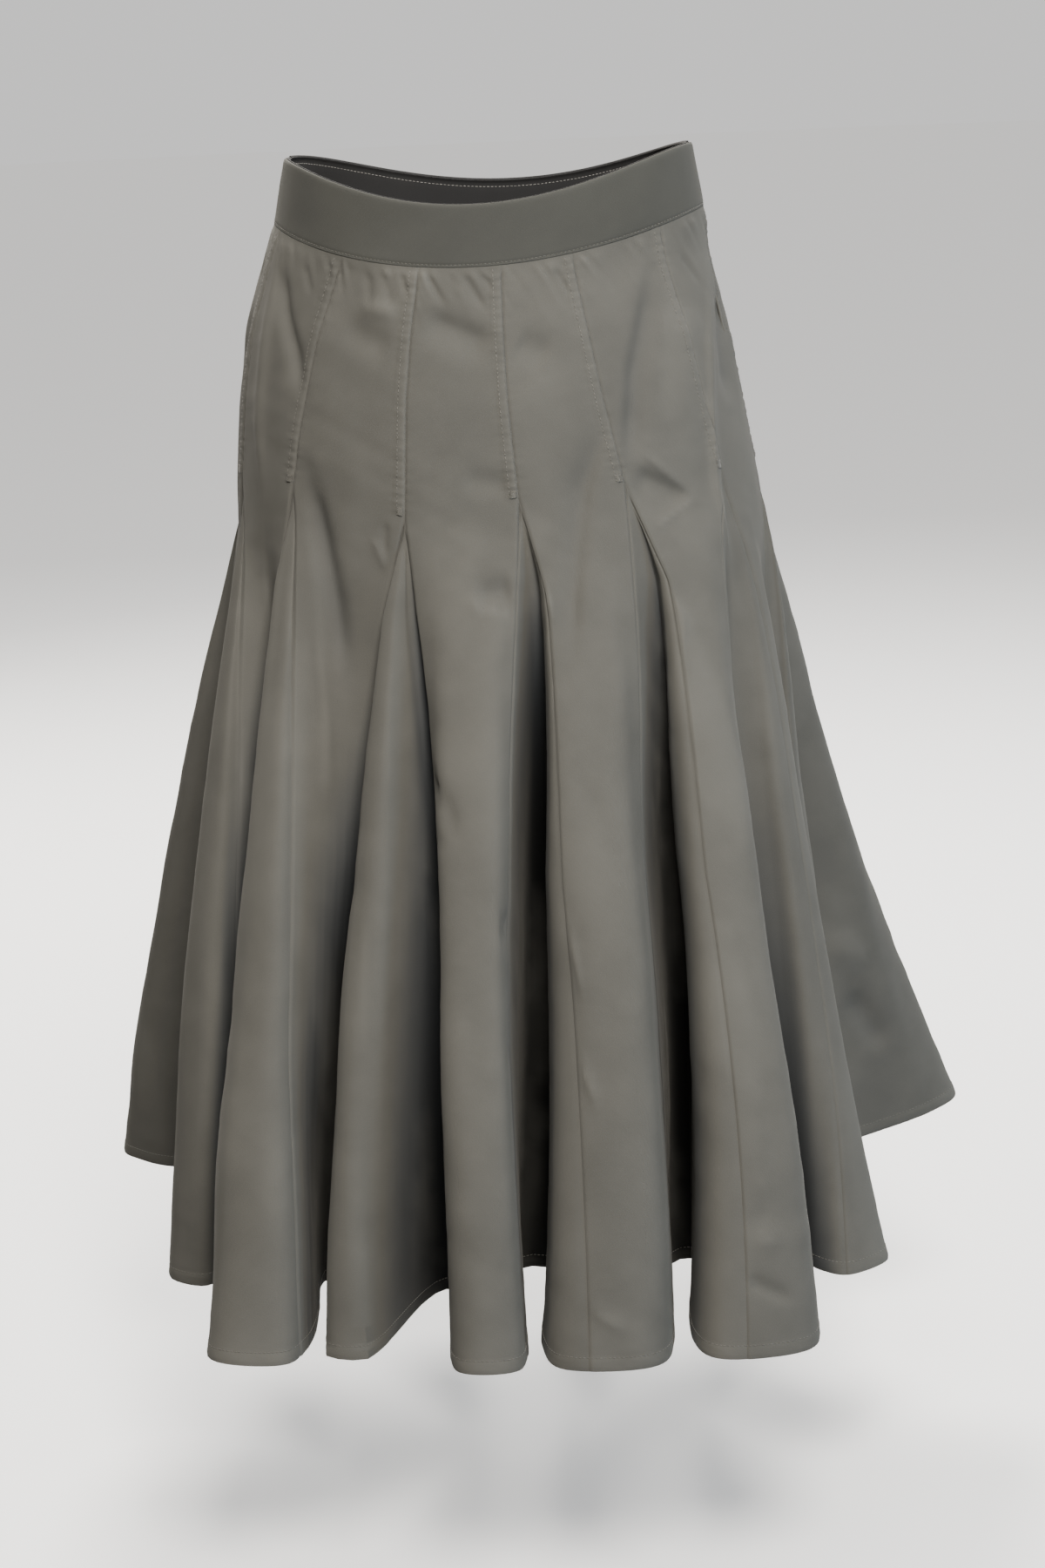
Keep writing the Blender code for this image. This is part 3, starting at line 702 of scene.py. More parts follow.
# Creases: panel and number, places on the way (share across, height; another panel's place names
# it first), then breadth and rise (below 0 a trough). Last, where they aren't 2 and 0, power of
# the profile (2 soft, 1 an edge) and lean: the share by which it is broader right of its way,
# seen from outside, and narrower left.
CREASES = (
    # puckers under the waistband
    ("gore", 14, (0.40, -0.051), (0.54, -0.080), 0.0030, -0.0017, 2, 0.3),
    ("gore", 14, (0.60, -0.051), (0.76, -0.080), 0.0028, -0.0015, 2, -0.3),
    ("gore", 14, (0.80, -0.052), (0.92, -0.072), 0.0022, -0.0013),
    ("gore", 1, (0.09, -0.053), (0.24, -0.066), (0.36, -0.078), 0.0024, -0.0016, 2, 0.2),
    ("gore", 1, (0.38, -0.053), (0.54, -0.066), 0.0020, -0.0011),
    ("gore", 1, (0.52, -0.053), (0.66, -0.067), (0.80, -0.082), 0.0026, -0.0017, 2, -0.2),
    ("gore", 1, (0.77, -0.055), (0.90, -0.068), 0.0020, -0.0012),
    ("gore", 2, (0.70, -0.052), (0.86, -0.073), 0.0022, -0.0013, 2, 0.2),
    ("gore", 13, (0.60, -0.046), (0.80, -0.070), 0.0028, -0.0013),
    ("gore", 4, (0.20, -0.050), (0.42, -0.075), 0.0026, -0.0014),
    # soft dents across the hips
    ("gore", 1, (0.10, -0.086), (0.46, -0.096), (0.90, -0.109), 0.012, -0.0042, 2, 0.2),
    ("gore", 14, (0.22, -0.092), (0.50, -0.100), (0.84, -0.110), 0.011, -0.0028),
    ("gore", 14, (0.40, -0.076), (0.85, -0.082), 0.007, 0.0020),
    ("gore", 1, (0.50, -0.206), (0.96, -0.211), 0.010, -0.0024),
    ("gore", 2, (0.12, -0.105), (0.50, -0.118), 0.012, -0.0026),
    ("gore", 2, (0.97, -0.165), (0.60, -0.216), (0.28, -0.290), (0.20, -0.340), 0.0095, -0.0044, 2, 0.4),
    # wearer's right hip: the fold that runs down the side, and the groove beside it
    ("gore", 13, (0.16, -0.046), (0.34, -0.112), (0.42, -0.170), (0.56, -0.225), 0.008, 0.0034, 1.4),
    ("gore", 13, (0.24, -0.045), (0.52, -0.082), (0.78, -0.112), (0.97, -0.145), 0.0065, -0.0042),
    # wearer's left hip: the groove towards the apex, the swell behind it and the folded side edge
    ("gore", 3, (0.78, -0.062), (0.33, -0.134), (0.06, -0.205), 0.0085, -0.0052, 2, -0.2),
    ("gore", 3, ("gore", 4, 0.10, -0.080), (0.85, -0.140), (0.66, -0.195), 0.017, 0.0030),
    ("gore", 4, (0.67, -0.060), (0.26, -0.121), (0.05, -0.167), ("gore", 3, 0.91, -0.227),
     ("godet", 3, 0.66, -0.320), 0.0055, 0.0038, 1.2, -0.3),
    ("gore", 4, (0.95, -0.075), (0.62, -0.120), (0.42, -0.172), 0.0130, -0.0060),
    # dog-ears beside the apexes
    ("gore", 3, (0.08, -0.206), (0.34, -0.222), (0.58, -0.232), 0.0110, -0.0040, 2, 0.3),
    ("gore", 3, (0.20, -0.190), (0.40, -0.212), (0.62, -0.230), 0.0030, 0.0018, 1),
    ("gore", 3, (0.62, -0.230), (0.30, -0.241), (0.05, -0.250), 0.0030, 0.0020, 1),
    ("gore", 1, (0.60, -0.290), (0.97, -0.288), 0.0095, -0.0046),
    ("gore", 1, (0.50, -0.292), (0.72, -0.300), (0.97, -0.307), 0.0030, 0.0024, 1),
    ("gore", 14, (0.78, -0.248), (0.94, -0.272), 0.0018, 0.0018, 1),
    ("gore", 14, (0.86, -0.236), (0.90, -0.262), 0.0026, -0.0014),
    ("gore", 3, (0.02, -0.300), (0.10, -0.316), (0.02, -0.335), 0.0045, 0.0030, 1),
    ("gore", 2, (0.00, -0.290), (0.05, -0.305), 0.0030, 0.0020, 1),
    # valley that starts beside the apex after gore 13, and the ridge below it
    ("gore", 14, (0.14, -0.200), (0.30, -0.250), (0.50, -0.300), (0.62, -0.360), 0.0085, -0.0068),
    ("gore", 14, (0.30, -0.300), (0.42, -0.380), (0.45, -0.450), 0.0060, 0.0022),
    # creases down the tubes
    ("gore", 1, (0.12, -0.420), (0.45, -0.449), 0.0055, -0.0040),
    ("gore", 1, (0.46, -0.448), (0.24, -0.470), 0.0040, -0.0018),
    ("gore", 1, (0.82, -0.528), (1.00, -0.530), 0.0080, -0.0040),
    ("gore", 2, (0.04, -0.530), (0.10, -0.570), 0.0034, 0.0022, 1),
    ("gore", 2, (0.04, -0.618), (0.16, -0.648), 0.0030, 0.0026, 1),
    ("gore", 2, (0.20, -0.425), (0.42, -0.450), 0.0040, -0.0010),
    ("gore", 2, (0.30, -0.575), (0.62, -0.582), 0.0050, 0.0010),
    ("gore", 2, (0.03, -0.792), (0.24, -0.806), 0.0030, 0.0014, 1),
    ("gore", 3, (0.05, -0.705), (0.30, -0.716), 0.0040, 0.0012, 1),
    ("gore", 3, (0.02, -0.735), (0.66, -0.742), 0.0050, -0.0046, 1.3),
    ("gore", 3, (0.05, -0.750), (0.62, -0.757), 0.0070, 0.0030),
    ("gore", 3, (0.00, -0.778), (0.34, -0.796), 0.0050, -0.0034, 1.3),
    ("gore", 5, (0.26, -0.690), (0.37, -0.729), (0.47, -0.748), 0.012, -0.0050),
    ("gore", 5, (0.20, -0.640), (0.42, -0.670), 0.012, 0.0030),
    ("godet", 2, (0.20, -0.600), (0.24, -0.760), 0.0050, 0.0016),
    ("godet", 14, (0.45, -0.420), (0.42, -0.640), 0.0050, 0.0016),
    # hidden sides, after the ones that show
    ("gore", 5, (0.30, -0.040), (0.48, -0.064), 0.0026, -0.0014),
    ("gore", 6, (0.55, -0.036), (0.40, -0.062), 0.0024, -0.0014),
    ("gore", 7, (0.20, -0.045), (0.34, -0.074), 0.0026, -0.0015),
    ("gore", 8, (0.66, -0.048), (0.50, -0.076), 0.0028, -0.0015),
    ("gore", 8, (0.22, -0.048), (0.36, -0.068), 0.0022, -0.0012),
    ("gore", 9, (0.40, -0.046), (0.58, -0.078), 0.0028, -0.0014),
    ("gore", 10, (0.60, -0.040), (0.44, -0.064), 0.0024, -0.0013),
    ("gore", 11, (0.28, -0.034), (0.46, -0.060), 0.0026, -0.0015),
    ("gore", 12, (0.50, -0.036), (0.66, -0.062), 0.0024, -0.0013),
    ("gore", 8, (0.15, -0.090), (0.85, -0.104), 0.012, -0.0024),
    ("gore", 7, (0.20, -0.110), (0.75, -0.096), 0.011, -0.0020),
    ("gore", 10, (0.25, -0.105), (0.80, -0.090), 0.012, -0.0024),
    ("gore", 12, (0.70, -0.070), (0.40, -0.140), (0.20, -0.200), 0.0085, -0.0040),
    ("gore", 6, (0.30, -0.066), (0.62, -0.140), (0.85, -0.205), 0.0085, -0.0040),
    ("gore", 9, (0.92, -0.150), (0.62, -0.215), (0.40, -0.290), 0.0095, -0.0030),
    ("gore", 11, (0.10, -0.198), (0.36, -0.214), (0.56, -0.226), 0.0090, -0.0040),
    ("gore", 11, (0.56, -0.226), (0.28, -0.238), (0.05, -0.247), 0.0030, 0.0018, 1),
    ("gore", 7, (0.90, -0.205), (0.64, -0.220), (0.46, -0.230), 0.0090, -0.0038),
    ("gore", 7, (0.46, -0.230), (0.72, -0.242), (0.95, -0.250), 0.0030, 0.0018, 1),
    ("gore", 8, (0.55, -0.296), (0.95, -0.292), 0.0095, -0.0032),
    ("gore", 10, (0.12, -0.430), (0.46, -0.456), 0.0050, -0.0028),
    ("gore", 6, (0.85, -0.470), (0.52, -0.492), 0.0050, -0.0026),
    ("gore", 7, (0.05, -0.560), (0.14, -0.600), 0.0030, 0.0015, 1),
    ("gore", 9, (0.05, -0.640), (0.18, -0.668), 0.0026, 0.0017, 1),
    ("gore", 11, (0.90, -0.585), (0.60, -0.600), 0.0050, -0.0018),
    ("gore", 12, (0.05, -0.725), (0.60, -0.735), 0.0045, -0.0022, 1),
    ("gore", 8, (0.04, -0.745), (0.58, -0.752), 0.0045, -0.0022, 1),
    ("gore", 6, (0.40, -0.700), (0.52, -0.750), 0.011, -0.0040),
    ("gore", 10, (0.62, -0.690), (0.50, -0.745), 0.011, -0.0040),
    ("godet", 8, (0.45, -0.400), (0.50, -0.640), 0.0060, 0.0018),
    ("godet", 6, (0.55, -0.420), (0.50, -0.680), 0.0060, 0.0018),
    ("godet", 11, (0.40, -0.380), (0.48, -0.620), 0.0060, 0.0018),
)


def ripple(distance, wavelength, seeds, shift=0):
    """Uneven ripple between -1 and 1: three sines of unlike length, added."""
    first, second, third = seeds
    phase = distance * 2 * np.pi / wavelength + shift
    return (np.sin(phase + first) + 0.6 * np.sin(phase * 1.62 + second)
            + 0.4 * np.sin(phase * 0.47 + third)) / 2


def seam_relief(cloth):
    """Dip along every seam, the felled allowance beside each gore seam, and the puckers along it.

    Below its apex a godet is also set back beside the seam that folds over it.
    """
    edge = np.minimum(cloth.from_left, cloth.from_right)
    above_apex = smooth_step((cloth.apex_down + 0.004 - cloth.down) / 0.010)
    dip = -(SEAM_DIP * above_apex + SEAM_DIP_BELOW * (1 - above_apex)) * bell(edge, 0.0011)
    below = cloth.down - cloth.apex_down
    from_seam = cloth.from_right
    set_back = (-GODET_SET_BACK * smooth_step(below / 0.02) * (1 - 0.7 * smooth_step(below / 0.45))
                * smooth_step(from_seam / 0.0015) * np.exp(-from_seam / 0.010))
    fell = FELL_RISE * smooth_step(from_seam / 0.0012) * smooth_step(
        (FELL_WIDTH + 0.0012 - from_seam) / 0.0016)
    stitch = -0.00035 * bell(from_seam - FELL_STITCH, 0.0007)
    rng = np.random.default_rng(11)
    seeds = rng.uniform(0, 6.28, (len(GODETS) + 1, 6))[cloth.number]
    puckers = (0.00050 * ripple(cloth.down, 0.0068, seeds[:, :3].T) * bell(from_seam - 0.004, 0.0065)
               + 0.00022 * ripple(cloth.down, 0.0080, seeds[:, 3:].T) * bell(cloth.from_left, 0.006))
    felled = cloth.is_gore * above_apex
    return dip + felled * (fell + stitch + puckers) + set_back * ~cloth.is_gore


def gather_relief(cloth):
    """Small slanting puckers in the gores under the waistband, fading out downwards."""
    rng = np.random.default_rng(5)
    seeds = rng.uniform(0, 6.28, (len(GODETS) + 1, 3))[cloth.number].T
    slant = cloth.from_left - cloth.down * 0.55
    size = 0.0012 + 0.0009 * np.sin(cloth.from_left * 2 * np.pi / 0.041 + seeds[0])
    fine = size * (0.45 + ripple(slant, 0.0125, seeds)) * np.exp(-cloth.down / 0.015)
    return fine * cloth.is_gore * smooth_step(cloth.down / 0.006) * smooth_step(cloth.from_left / 0.004)


def hem_relief(cloth):
    """The turned hem: a little fuller than the cloth, a stitched dip at its top, and roping."""
    above = cloth.above_hem
    around = np.cumsum(np.linalg.norm(np.roll(cloth.points[-1], -1, axis=0) - cloth.points[-1], axis=-1))
    fuller = 0.00035 * smooth_step((HEM_TURN_UP + 0.001 - above) / 0.003)
    stitch = -0.00030 * bell(above - HEM_STITCH, 0.0012)
    roping = 0.00022 * ripple(around - above * 0.8, 0.0090, (0.4, 2.2, 4.1)) * bell(above - 0.006, 0.006)
    rounded = -0.0004 * smooth_step(1 - above / 0.0012)
    return fuller + stitch + roping + rounded


def drift_relief(cloth):
    """Slight unevenness of hanging cloth: long upright waves in space, of unlike size and heading."""
    rng = np.random.default_rng(23)
    total = np.zeros(cloth.relief.shape)
    for _ in range(14):
        heading = rng.uniform(0, 2 * np.pi)
        length = rng.uniform(0.045, 0.13)
        rise = rng.uniform(-0.35, 0.35)
        wave = np.array([np.cos(heading), np.sin(heading), rise]) * 2 * np.pi / length
        total += np.sin(cloth.points @ wave + rng.uniform(0, 2 * np.pi)) * length
    size = 0.0016 + 0.0010 * smooth_step((cloth.down - 0.15) / 0.3)
    return total * size / np.sqrt(14) / 0.06 * 0.35


def scattered_waves(cloth, rng, count, shortest, longest):
    """Waves in space of unlike heading, sin(2 pi heading . point / length + phase), and their lengths."""
    for _ in range(count):
        heading = unit(rng.normal(size=3))
        length = rng.uniform(shortest, longest)
        yield np.sin(cloth.points @ (heading * 2 * np.pi / length) + rng.uniform(0, 6.28)), length


def crumple_relief(cloth):
    """Faint crumpling: short waves of unlike heading, in patches that a few long waves bound."""
    rng = np.random.default_rng(41)
    total = sum(wave * length for wave, length in scattered_waves(cloth, rng, 22, 0.011, 0.034))
    patches = sum(wave for wave, _ in scattered_waves(cloth, rng, 6, 0.09, 0.20))
    return 0.0022 * total * (0.35 + 0.65 * smooth_step(0.5 + patches / 3))


def press_crease(cloth, places, breadth, rise, power=2, lean=0.0):
    """Along a line over the places: rise exp(-(distance / breadth)^power), fading at both ends.

    Deep troughs get painted shade, as folds do.
    """
    spots = np.array([cloth.place(*place) for place in places])
    line = cloth.at(cloth.points, spots[:, 0], spots[:, 1])
    upright = cloth.at(cloth.normals, spots[:, 0], spots[:, 1])
    reach = breadth * CREASE_REACH
    low, high = line.min(0) - reach, line.max(0) + reach
    near = np.all((cloth.points > low) & (cloth.points < high), axis=-1)
    points = cloth.points[near]
    best = np.full(len(points), np.inf)
    along = np.zeros(len(points))
    side = np.zeros(len(points))
    lengths = np.linalg.norm(np.diff(line, axis=0), axis=-1)
    total = lengths.sum()
    for index, length in enumerate(lengths):
        heading = (line[index + 1] - line[index]) / length
        offset = points - line[index]
        part = np.clip(offset @ heading, 0, length)
        gap = offset - part[:, None] * heading
        distance = np.linalg.norm(gap, axis=-1)
        closer = distance < best
        best = np.where(closer, distance, best)
        along = np.where(closer, (lengths[:index].sum() + part) / total, along)
        side = np.where(closer, gap @ np.cross(heading, upright[index]), side)
    widths = breadth * np.where(side > 0, 1 + lean, 1 - lean)
    fade = smooth_step(along / CREASE_FADE) * smooth_step((1 - along) / CREASE_FADE)
    shape = np.exp(-(best / widths) ** power) * (0.15 + 0.85 * fade)
    facing = cloth.normals[near] @ unit(upright.mean(0))
    shape = shape * smooth_step(facing * 2)
    cloth.relief[near] += rise * shape
    # Painted shade in deep troughs, as in the folds
    cloth.painted_fold_shade[near] += np.clip((-rise - SHADE_FROM) / SHADE_DEPTH, 0, SHADE_MOST) * shape


def dress_cloth(cloth):
    """Adds every relief to the plain surface, the creases first, and eases it off at the band."""
    for kind, number, *values in CREASES:
        places = [value for value in values if isinstance(value, tuple)]
        places = [place if len(place) == 4 else (kind, number, *place) for place in places]
        press_crease(cloth, places, *(value for value in values if not isinstance(value, tuple)))
    cloth.painted_fold_shade = np.clip(cloth.painted_fold_shade, 0, 1)
    cloth.relief += (drift_relief(cloth) + crumple_relief(cloth) + gather_relief(cloth)
                     + seam_relief(cloth) + hem_relief(cloth))
    at_band = smooth_step(cloth.down / 0.010)
    cloth.relief *= np.where(cloth.relief < 0, at_band, 0.4 + 0.6 * at_band)
    cloth.outer = cloth.points + cloth.normals * cloth.relief[..., None]
    return cloth


# Meshes

def strip(line):
    """Neighbouring pairs along a line of point numbers."""
    return np.stack([line[:-1], line[1:]], -1)


def make_piece(name, points, faces, finish, grain=None, wear=None, painted_fold_shade=None):
    """A mesh object from points and faces, with its grain, wear and painted shade, riding on the part."""
    mesh = bpy.data.meshes.new(name)
    mesh.from_pydata(points.reshape(-1, 3).tolist(), [], list(faces))
    mesh.materials.append(finish)
    if grain is not None:
        corners = np.empty(len(mesh.loops), np.int32)
        mesh.loops.foreach_get("vertex_index", corners)
        layer = mesh.uv_layers.new(name="grain")
        layer.data.foreach_set("uv", grain.reshape(-1, 2)[corners].astype(np.float32).ravel())
    for title, values in (("wear", wear), ("painted_fold_shade", painted_fold_shade)):
        if values is not None:
            attribute = mesh.attributes.new(title, "FLOAT", "POINT")
            attribute.data.foreach_set("value", values.astype(np.float32).ravel())
    mesh.shade_smooth()
    mesh.set_sharp_from_angle(angle=np.radians(50))
    mesh.update()
    piece = bpy.data.objects.new(name, mesh)
    bpy.context.scene.collection.objects.link(piece)
    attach(piece, "root")
    return piece


def closed_wall(outer, inner):
    """Points and faces of a closed wall between two grids: both sides and the rim round them."""
    rows, columns = outer.shape[:2]
    count = rows * columns
    grid = np.arange(count).reshape(rows, columns)
    outside = np.stack([grid[:-1, :-1], grid[1:, :-1], grid[1:, 1:], grid[:-1, 1:]], -1).reshape(-1, 4)
    edges = [strip(grid[0]), strip(grid[:, -1]), strip(grid[-1, ::-1]), strip(grid[::-1, 0])]
    rim = [np.column_stack([edge, edge[:, ::-1] + count]) for edge in edges]
    faces = np.concatenate([outside, outside[:, ::-1] + count, *rim])
    return np.concatenate([outer.reshape(-1, 3), inner.reshape(-1, 3)]), faces


def make_cloth_wall(node, outer, inner, finish, grain, wear, painted_fold_shade=None):
    """A wall of cloth in a node's place; wear and painted shade are pairs, for its outside and its
    inside.
    """
    points, faces = closed_wall(outer, inner)
    piece = make_piece(f"{node}_cloth", points, faces, finish, np.concatenate([grain, grain]),
                       np.concatenate(wear), None if painted_fold_shade is None else np.concatenate(painted_fold_shade))
    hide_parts(node)
    return piece


def length_along(line):
    """Length of a line of points up to each of them."""
    return np.concatenate([[0.0], np.cumsum(np.linalg.norm(np.diff(line, axis=0), axis=-1))])


def panel_area(points):
    """Area of a grid of quads, from the cross products of their diagonals."""
    first = points[1:, 1:] - points[:-1, :-1]
    second = points[1:, :-1] - points[:-1, 1:]
    return np.linalg.norm(np.cross(first, second), axis=-1).sum() / 2


def make_panel(cloth, kind, number, finish):
    """One gore or godet, cut from the grid as a wall with its hem turned up inside.

    Its grain runs down the panel: across is the length along the row from the middle column, and
    along is the length down that column. Ridges, the seams' edges and the hem's fold are worn. Its
    folds get painted shade outside, and its inside gets painted shade all over, deeper in the folds.
    """
    top = HIP_ROWS if kind == "godet" else 0
    span = panel_columns(kind, number) % cloth.points.shape[1]
    part = (slice(top, None), span)
    outer, normals = cloth.outer[part], cloth.normals[part]
    above_hem = cloth.above_hem[part]
    turned = smooth_step((HEM_TURN_UP - above_hem) / 0.0012)
    inner = outer - normals * (CLOTH_WALL * (1 + 0.9 * turned))[..., None]
    steps = np.linalg.norm(np.diff(outer, axis=1), axis=-1)
    across = np.concatenate([np.zeros((len(outer), 1)), np.cumsum(steps, axis=1)], axis=1)
    across -= across[:, [across.shape[1] // 2]]
    along = cloth.down[top:, span[len(span) // 2]][:, None] + 0 * across
    grain = np.stack([across, along], -1) + np.array([number * 1.37, number * 0.83])
    wear = np.clip((cloth.relief[part] - 0.0002) / 0.0012, 0, 1) * 0.35
    edge = np.minimum(cloth.from_left[part], cloth.from_right[part])
    wear += 0.12 * bell(edge - 0.0018, 0.0012)
    wear += 0.30 * smooth_step(1 - above_hem / 0.002)
    # Painted shade: in the folds outside; inside, all over the panel and deeper in the folds
    painted_fold_shade = cloth.painted_fold_shade[part]
    piece = make_cloth_wall(f"{kind}_{number:02d}", outer, inner, finish, grain,
                            (wear, 0 * wear), (painted_fold_shade, 0.35 + 0.65 * painted_fold_shade))
    return piece, outer


def band_ring(turn, share, proud):
    """Points and normals of the band's outer surface at shares from its top to its foot."""
    top, foot = band_heights(turn)
    points = body_point(turn + 0 * share, top + (foot - top) * share)
    normals = level_normals(points)
    return points + normals * proud[..., None], normals


def half_grid(side, shares):
    """Turns of a half's columns, its shares, and in metres the way down and the way round.

    Shares and way down change from row to row, turns and way round from column to column.
    """
    turn = (0.0 if side == "front" else 180.0) + np.linspace(-90, 90, BAND_COLUMNS + 1)
    share = shares[:, None]
    return turn, share, share * BAND_HEIGHT, np.radians(turn) * BAND_RADIUS


def make_band(finish, thread):
    """Waistband halves: a smooth band with a rounded top, a folded foot and a dip at its topstitching."""
    shares = np.concatenate([[0.0, 0.004, 0.012, 0.028, 0.05], np.linspace(0.09, 0.86, 16),
                             [0.895, 0.92, 0.94, 0.955, 0.968, 0.98, 0.99, 0.996, 1.004, 1.010]])
    stitched = np.searchsorted(shares, BAND_STITCH / BAND_HEIGHT)
    pieces = []
    for side in ("front", "back"):
        turn, share, down, around = half_grid(side, shares)
        rounded = -0.0011 * np.exp(-down / 0.0008) - 0.0009 * np.exp(-(BAND_EDGE - down) / 0.0005)
        stitch = -0.00035 * bell(down - BAND_STITCH, 0.0009)
        puckers = (0.00016 * ripple(around + down * 0.3, 0.0078, (1.1, 3.0, 0.2))
                   * bell(down - 0.0440, 0.0028))
        drift = (0.0006 * ripple(around, 0.11, (0.3, 1.9, 5.0), down * 30)
                 * smooth_step(down / 0.02) * smooth_step((BAND_EDGE - down) / 0.012))
        proud = 0.0007 + rounded + stitch + puckers + drift
        outer, normals = band_ring(turn, share, proud)
        inner = outer - normals * (BAND_WALL + proud - 0.0002)[..., None]
        grain = np.stack([around + 0 * share, down + 0 * around], -1)
        wear = 0.45 * np.exp(-down / 0.0012) + 0.25 * bell(down - 0.0463, 0.0007) + 0 * around
        piece = make_cloth_wall(f"waistband_{side}", outer, inner, finish, grain,
                                (wear, 0 * wear))
        line = 0.5 * (outer[stitched - 1] + outer[stitched])
        make_stitches(f"waistband_{side}_stitches", line, normals[stitched - 1], thread)
        pieces.append((piece, outer))
    return pieces


def make_facing(finish, thread):
    """Facing halves: dark cloth inside the band, rolled at its top, with a dip at its topstitching."""
    shares = np.concatenate([[0.0, 0.004, 0.012, 0.028, 0.05], np.linspace(0.07, 0.97, 22)])
    stitched = np.searchsorted(shares, FACING_STITCH / BAND_HEIGHT)
    pieces = []
    for side, lift in FACING_LIFT.items():
        turn, share, down, around = half_grid(side, shares)
        roll = 0.0011 * bell(down - 0.0012, 0.0011) - 0.0009 * np.exp(-down / 0.0005)
        groove = -0.0005 * bell(down - 0.0030, 0.0006)
        stitch = -0.0003 * bell(down - FACING_STITCH, 0.0008)
        puckers = 0.00015 * ripple(around, 0.009, (0.7, 2.0, 4.4)) * bell(down - 0.0050, 0.003)
        inside = roll + groove + stitch + puckers
        points, normals = band_ring(turn, share, 0 * down * around)
        points[..., 2] += lift * np.exp(-down / 0.004)
        outer = points - normals * (BAND_WALL + SEAM_GAP)
        inner = outer - normals * (FACING_WALL + inside + 0.0004)[..., None]
        grain = np.stack([around + 0 * share, down + 0 * around], -1)
        wear = 0.5 * bell(down - 0.0014, 0.0010) + 0 * around
        piece = make_cloth_wall(f"facing_{side}", outer, inner, finish, grain,
                                (0 * wear, wear))
        make_stitches(f"facing_{side}_stitches", inner[stitched], -normals[stitched], thread)
        pieces.append((piece, inner))
    return pieces


def make_beads(name, centre, upright, finish):
    """Stitches as five-sided beads, each carried along its own four places and arched over the cloth."""
    girth = np.array([0.45, 1.0, 1.0, 0.45])
    rise = np.array([-0.6, 0.75, 0.75, -0.6])
    heading = unit(centre[:, -1:] - centre[:, :1])
    sideways = unit(np.cross(heading, upright))
    turns = (np.arange(5) * 2 * np.pi / 5)[:, None]
    ring = sideways[:, :, None] * np.cos(turns) + upright[:, :, None] * np.sin(turns) * 0.8
    points = (centre + upright * (rise * THREAD)[:, None])[:, :, None]
    points = points + ring * (girth * THREAD)[:, None, None]
    index = np.arange(20).reshape(4, 5)
    following = np.roll(index, -1, axis=1)
    sides = np.stack([index[:-1], following[:-1], following[1:], index[1:]], -1).reshape(-1, 4)
    ends = np.stack([index[0, ::-1], index[-1]])
    firsts = 20 * np.arange(len(centre))[:, None, None]
    faces = (sides + firsts).reshape(-1, 4).tolist() + (ends + firsts).reshape(-1, 5).tolist()
    return make_piece(name, points, faces, finish)


def make_stitches(name, line, normals, finish):
    """A row of running stitches on a line."""
    lengths = length_along(line)
    starts = np.arange(STITCH_GAP, lengths[-1] - STITCH_LENGTH, STITCH_LENGTH + STITCH_GAP)
    places = starts[:, None] + np.array([0.0, 0.18, 0.82, 1.0]) * STITCH_LENGTH
    centre = np.stack([np.interp(places, lengths, line[:, axis]) for axis in range(3)], -1)
    upright = unit(np.stack([np.interp(places, lengths, normals[:, axis]) for axis in range(3)], -1))
    return make_beads(name, centre, upright, finish)


def make_bar_tack(cloth, number, finish):
    """Close threads across the end of the felled seam, just above the godet's apex."""
    above = cloth.apex_down[0] - cloth.down[HIP_ROWS::-1, 0]
    heights = TACK_LIFT + TACK_LENGTH * np.linspace(1, 0, TACK_THREADS)
    row = HIP_ROWS - np.interp(heights, above, np.arange(HIP_ROWS + 1.0))[:, None]
    start = np.interp(row, np.arange(1, HIP_ROWS + 1), fell_columns(cloth, number))
    seam = panel_columns("gore", number)[-1]
    column = start + (seam - start) * np.array([-0.05, 0.2, 0.6, 0.8])
    row = row + 0 * column
    upright = cloth.at(cloth.normals, row, column)
    centre = cloth.at(cloth.outer, row, column) + upright * THREAD
    return make_beads(f"bar_tack_{number:02d}", centre, upright, finish)


def zip_points(height):
    """Points on the tape's inner face along the side seam's straight line, and their normals."""
    foot_turn, apex_turn, apex = GODETS[ZIP_GODET][:3]
    foot = band_heights(np.array(foot_turn))[1]
    turn = foot_turn + (apex_turn - foot_turn) * (height - foot) / (apex - foot)
    points = body_point(turn, height)
    normals = level_normals(points)
    return points - normals * (CLOTH_WALL + ZIP_CLEARANCE + ZIP_WALL), normals


def make_zip_coil(finish):
    """Coil of the closed zip: short threads across the tape's inner face, from slider to end."""
    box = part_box("zip_slider")
    height = np.arange(box[0][2] - 0.001, ZIP_END + 0.004, -COIL_PITCH)
    points, normals = zip_points(height)
    along = unit(np.gradient(points, axis=0))
    across = unit(np.cross(along, normals))
    share = np.array([-0.5, -0.2, 0.2, 0.5]) * COIL_WIDTH
    centre = points[:, None] + across[:, None] * share[:, None] - normals[:, None] * THREAD
    return make_beads("zip_coil", centre, np.repeat(-normals[:, None], 4, axis=1), finish)


def make_zip_pull(finish):
    """Pull tab: a thin plate that hangs from the slider, narrower at its top, with rounded ends."""
    low, high = (np.array(corner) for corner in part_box("zip_slider"))
    down = np.linspace(0, 1, 15)
    half = 0.0021 * np.sqrt(np.maximum(1 - np.abs(2 * down - 1) ** 5, 0.02)) * (0.78 + 0.22 * down)
    sideways = np.linspace(-1, 1, 7) * half[:, None]
    middle = (low[1] + high[1]) / 2
    crown = 0.00012 * np.cos(np.linspace(-1, 1, 7) * 1.5) + 0 * sideways
    face = low[0] - PULL_GAP - crown
    height = (low[2] + 0.004 - PULL_LENGTH * down)[:, None] + 0 * sideways
    inside = np.stack([face - PULL_WALL, middle - sideways, height], -1)
    outside = np.stack([low[0] - PULL_GAP + 0 * sideways, middle - sideways, height], -1)
    points, faces = closed_wall(inside, outside)
    return make_piece("zip_pull", points, faces, finish)


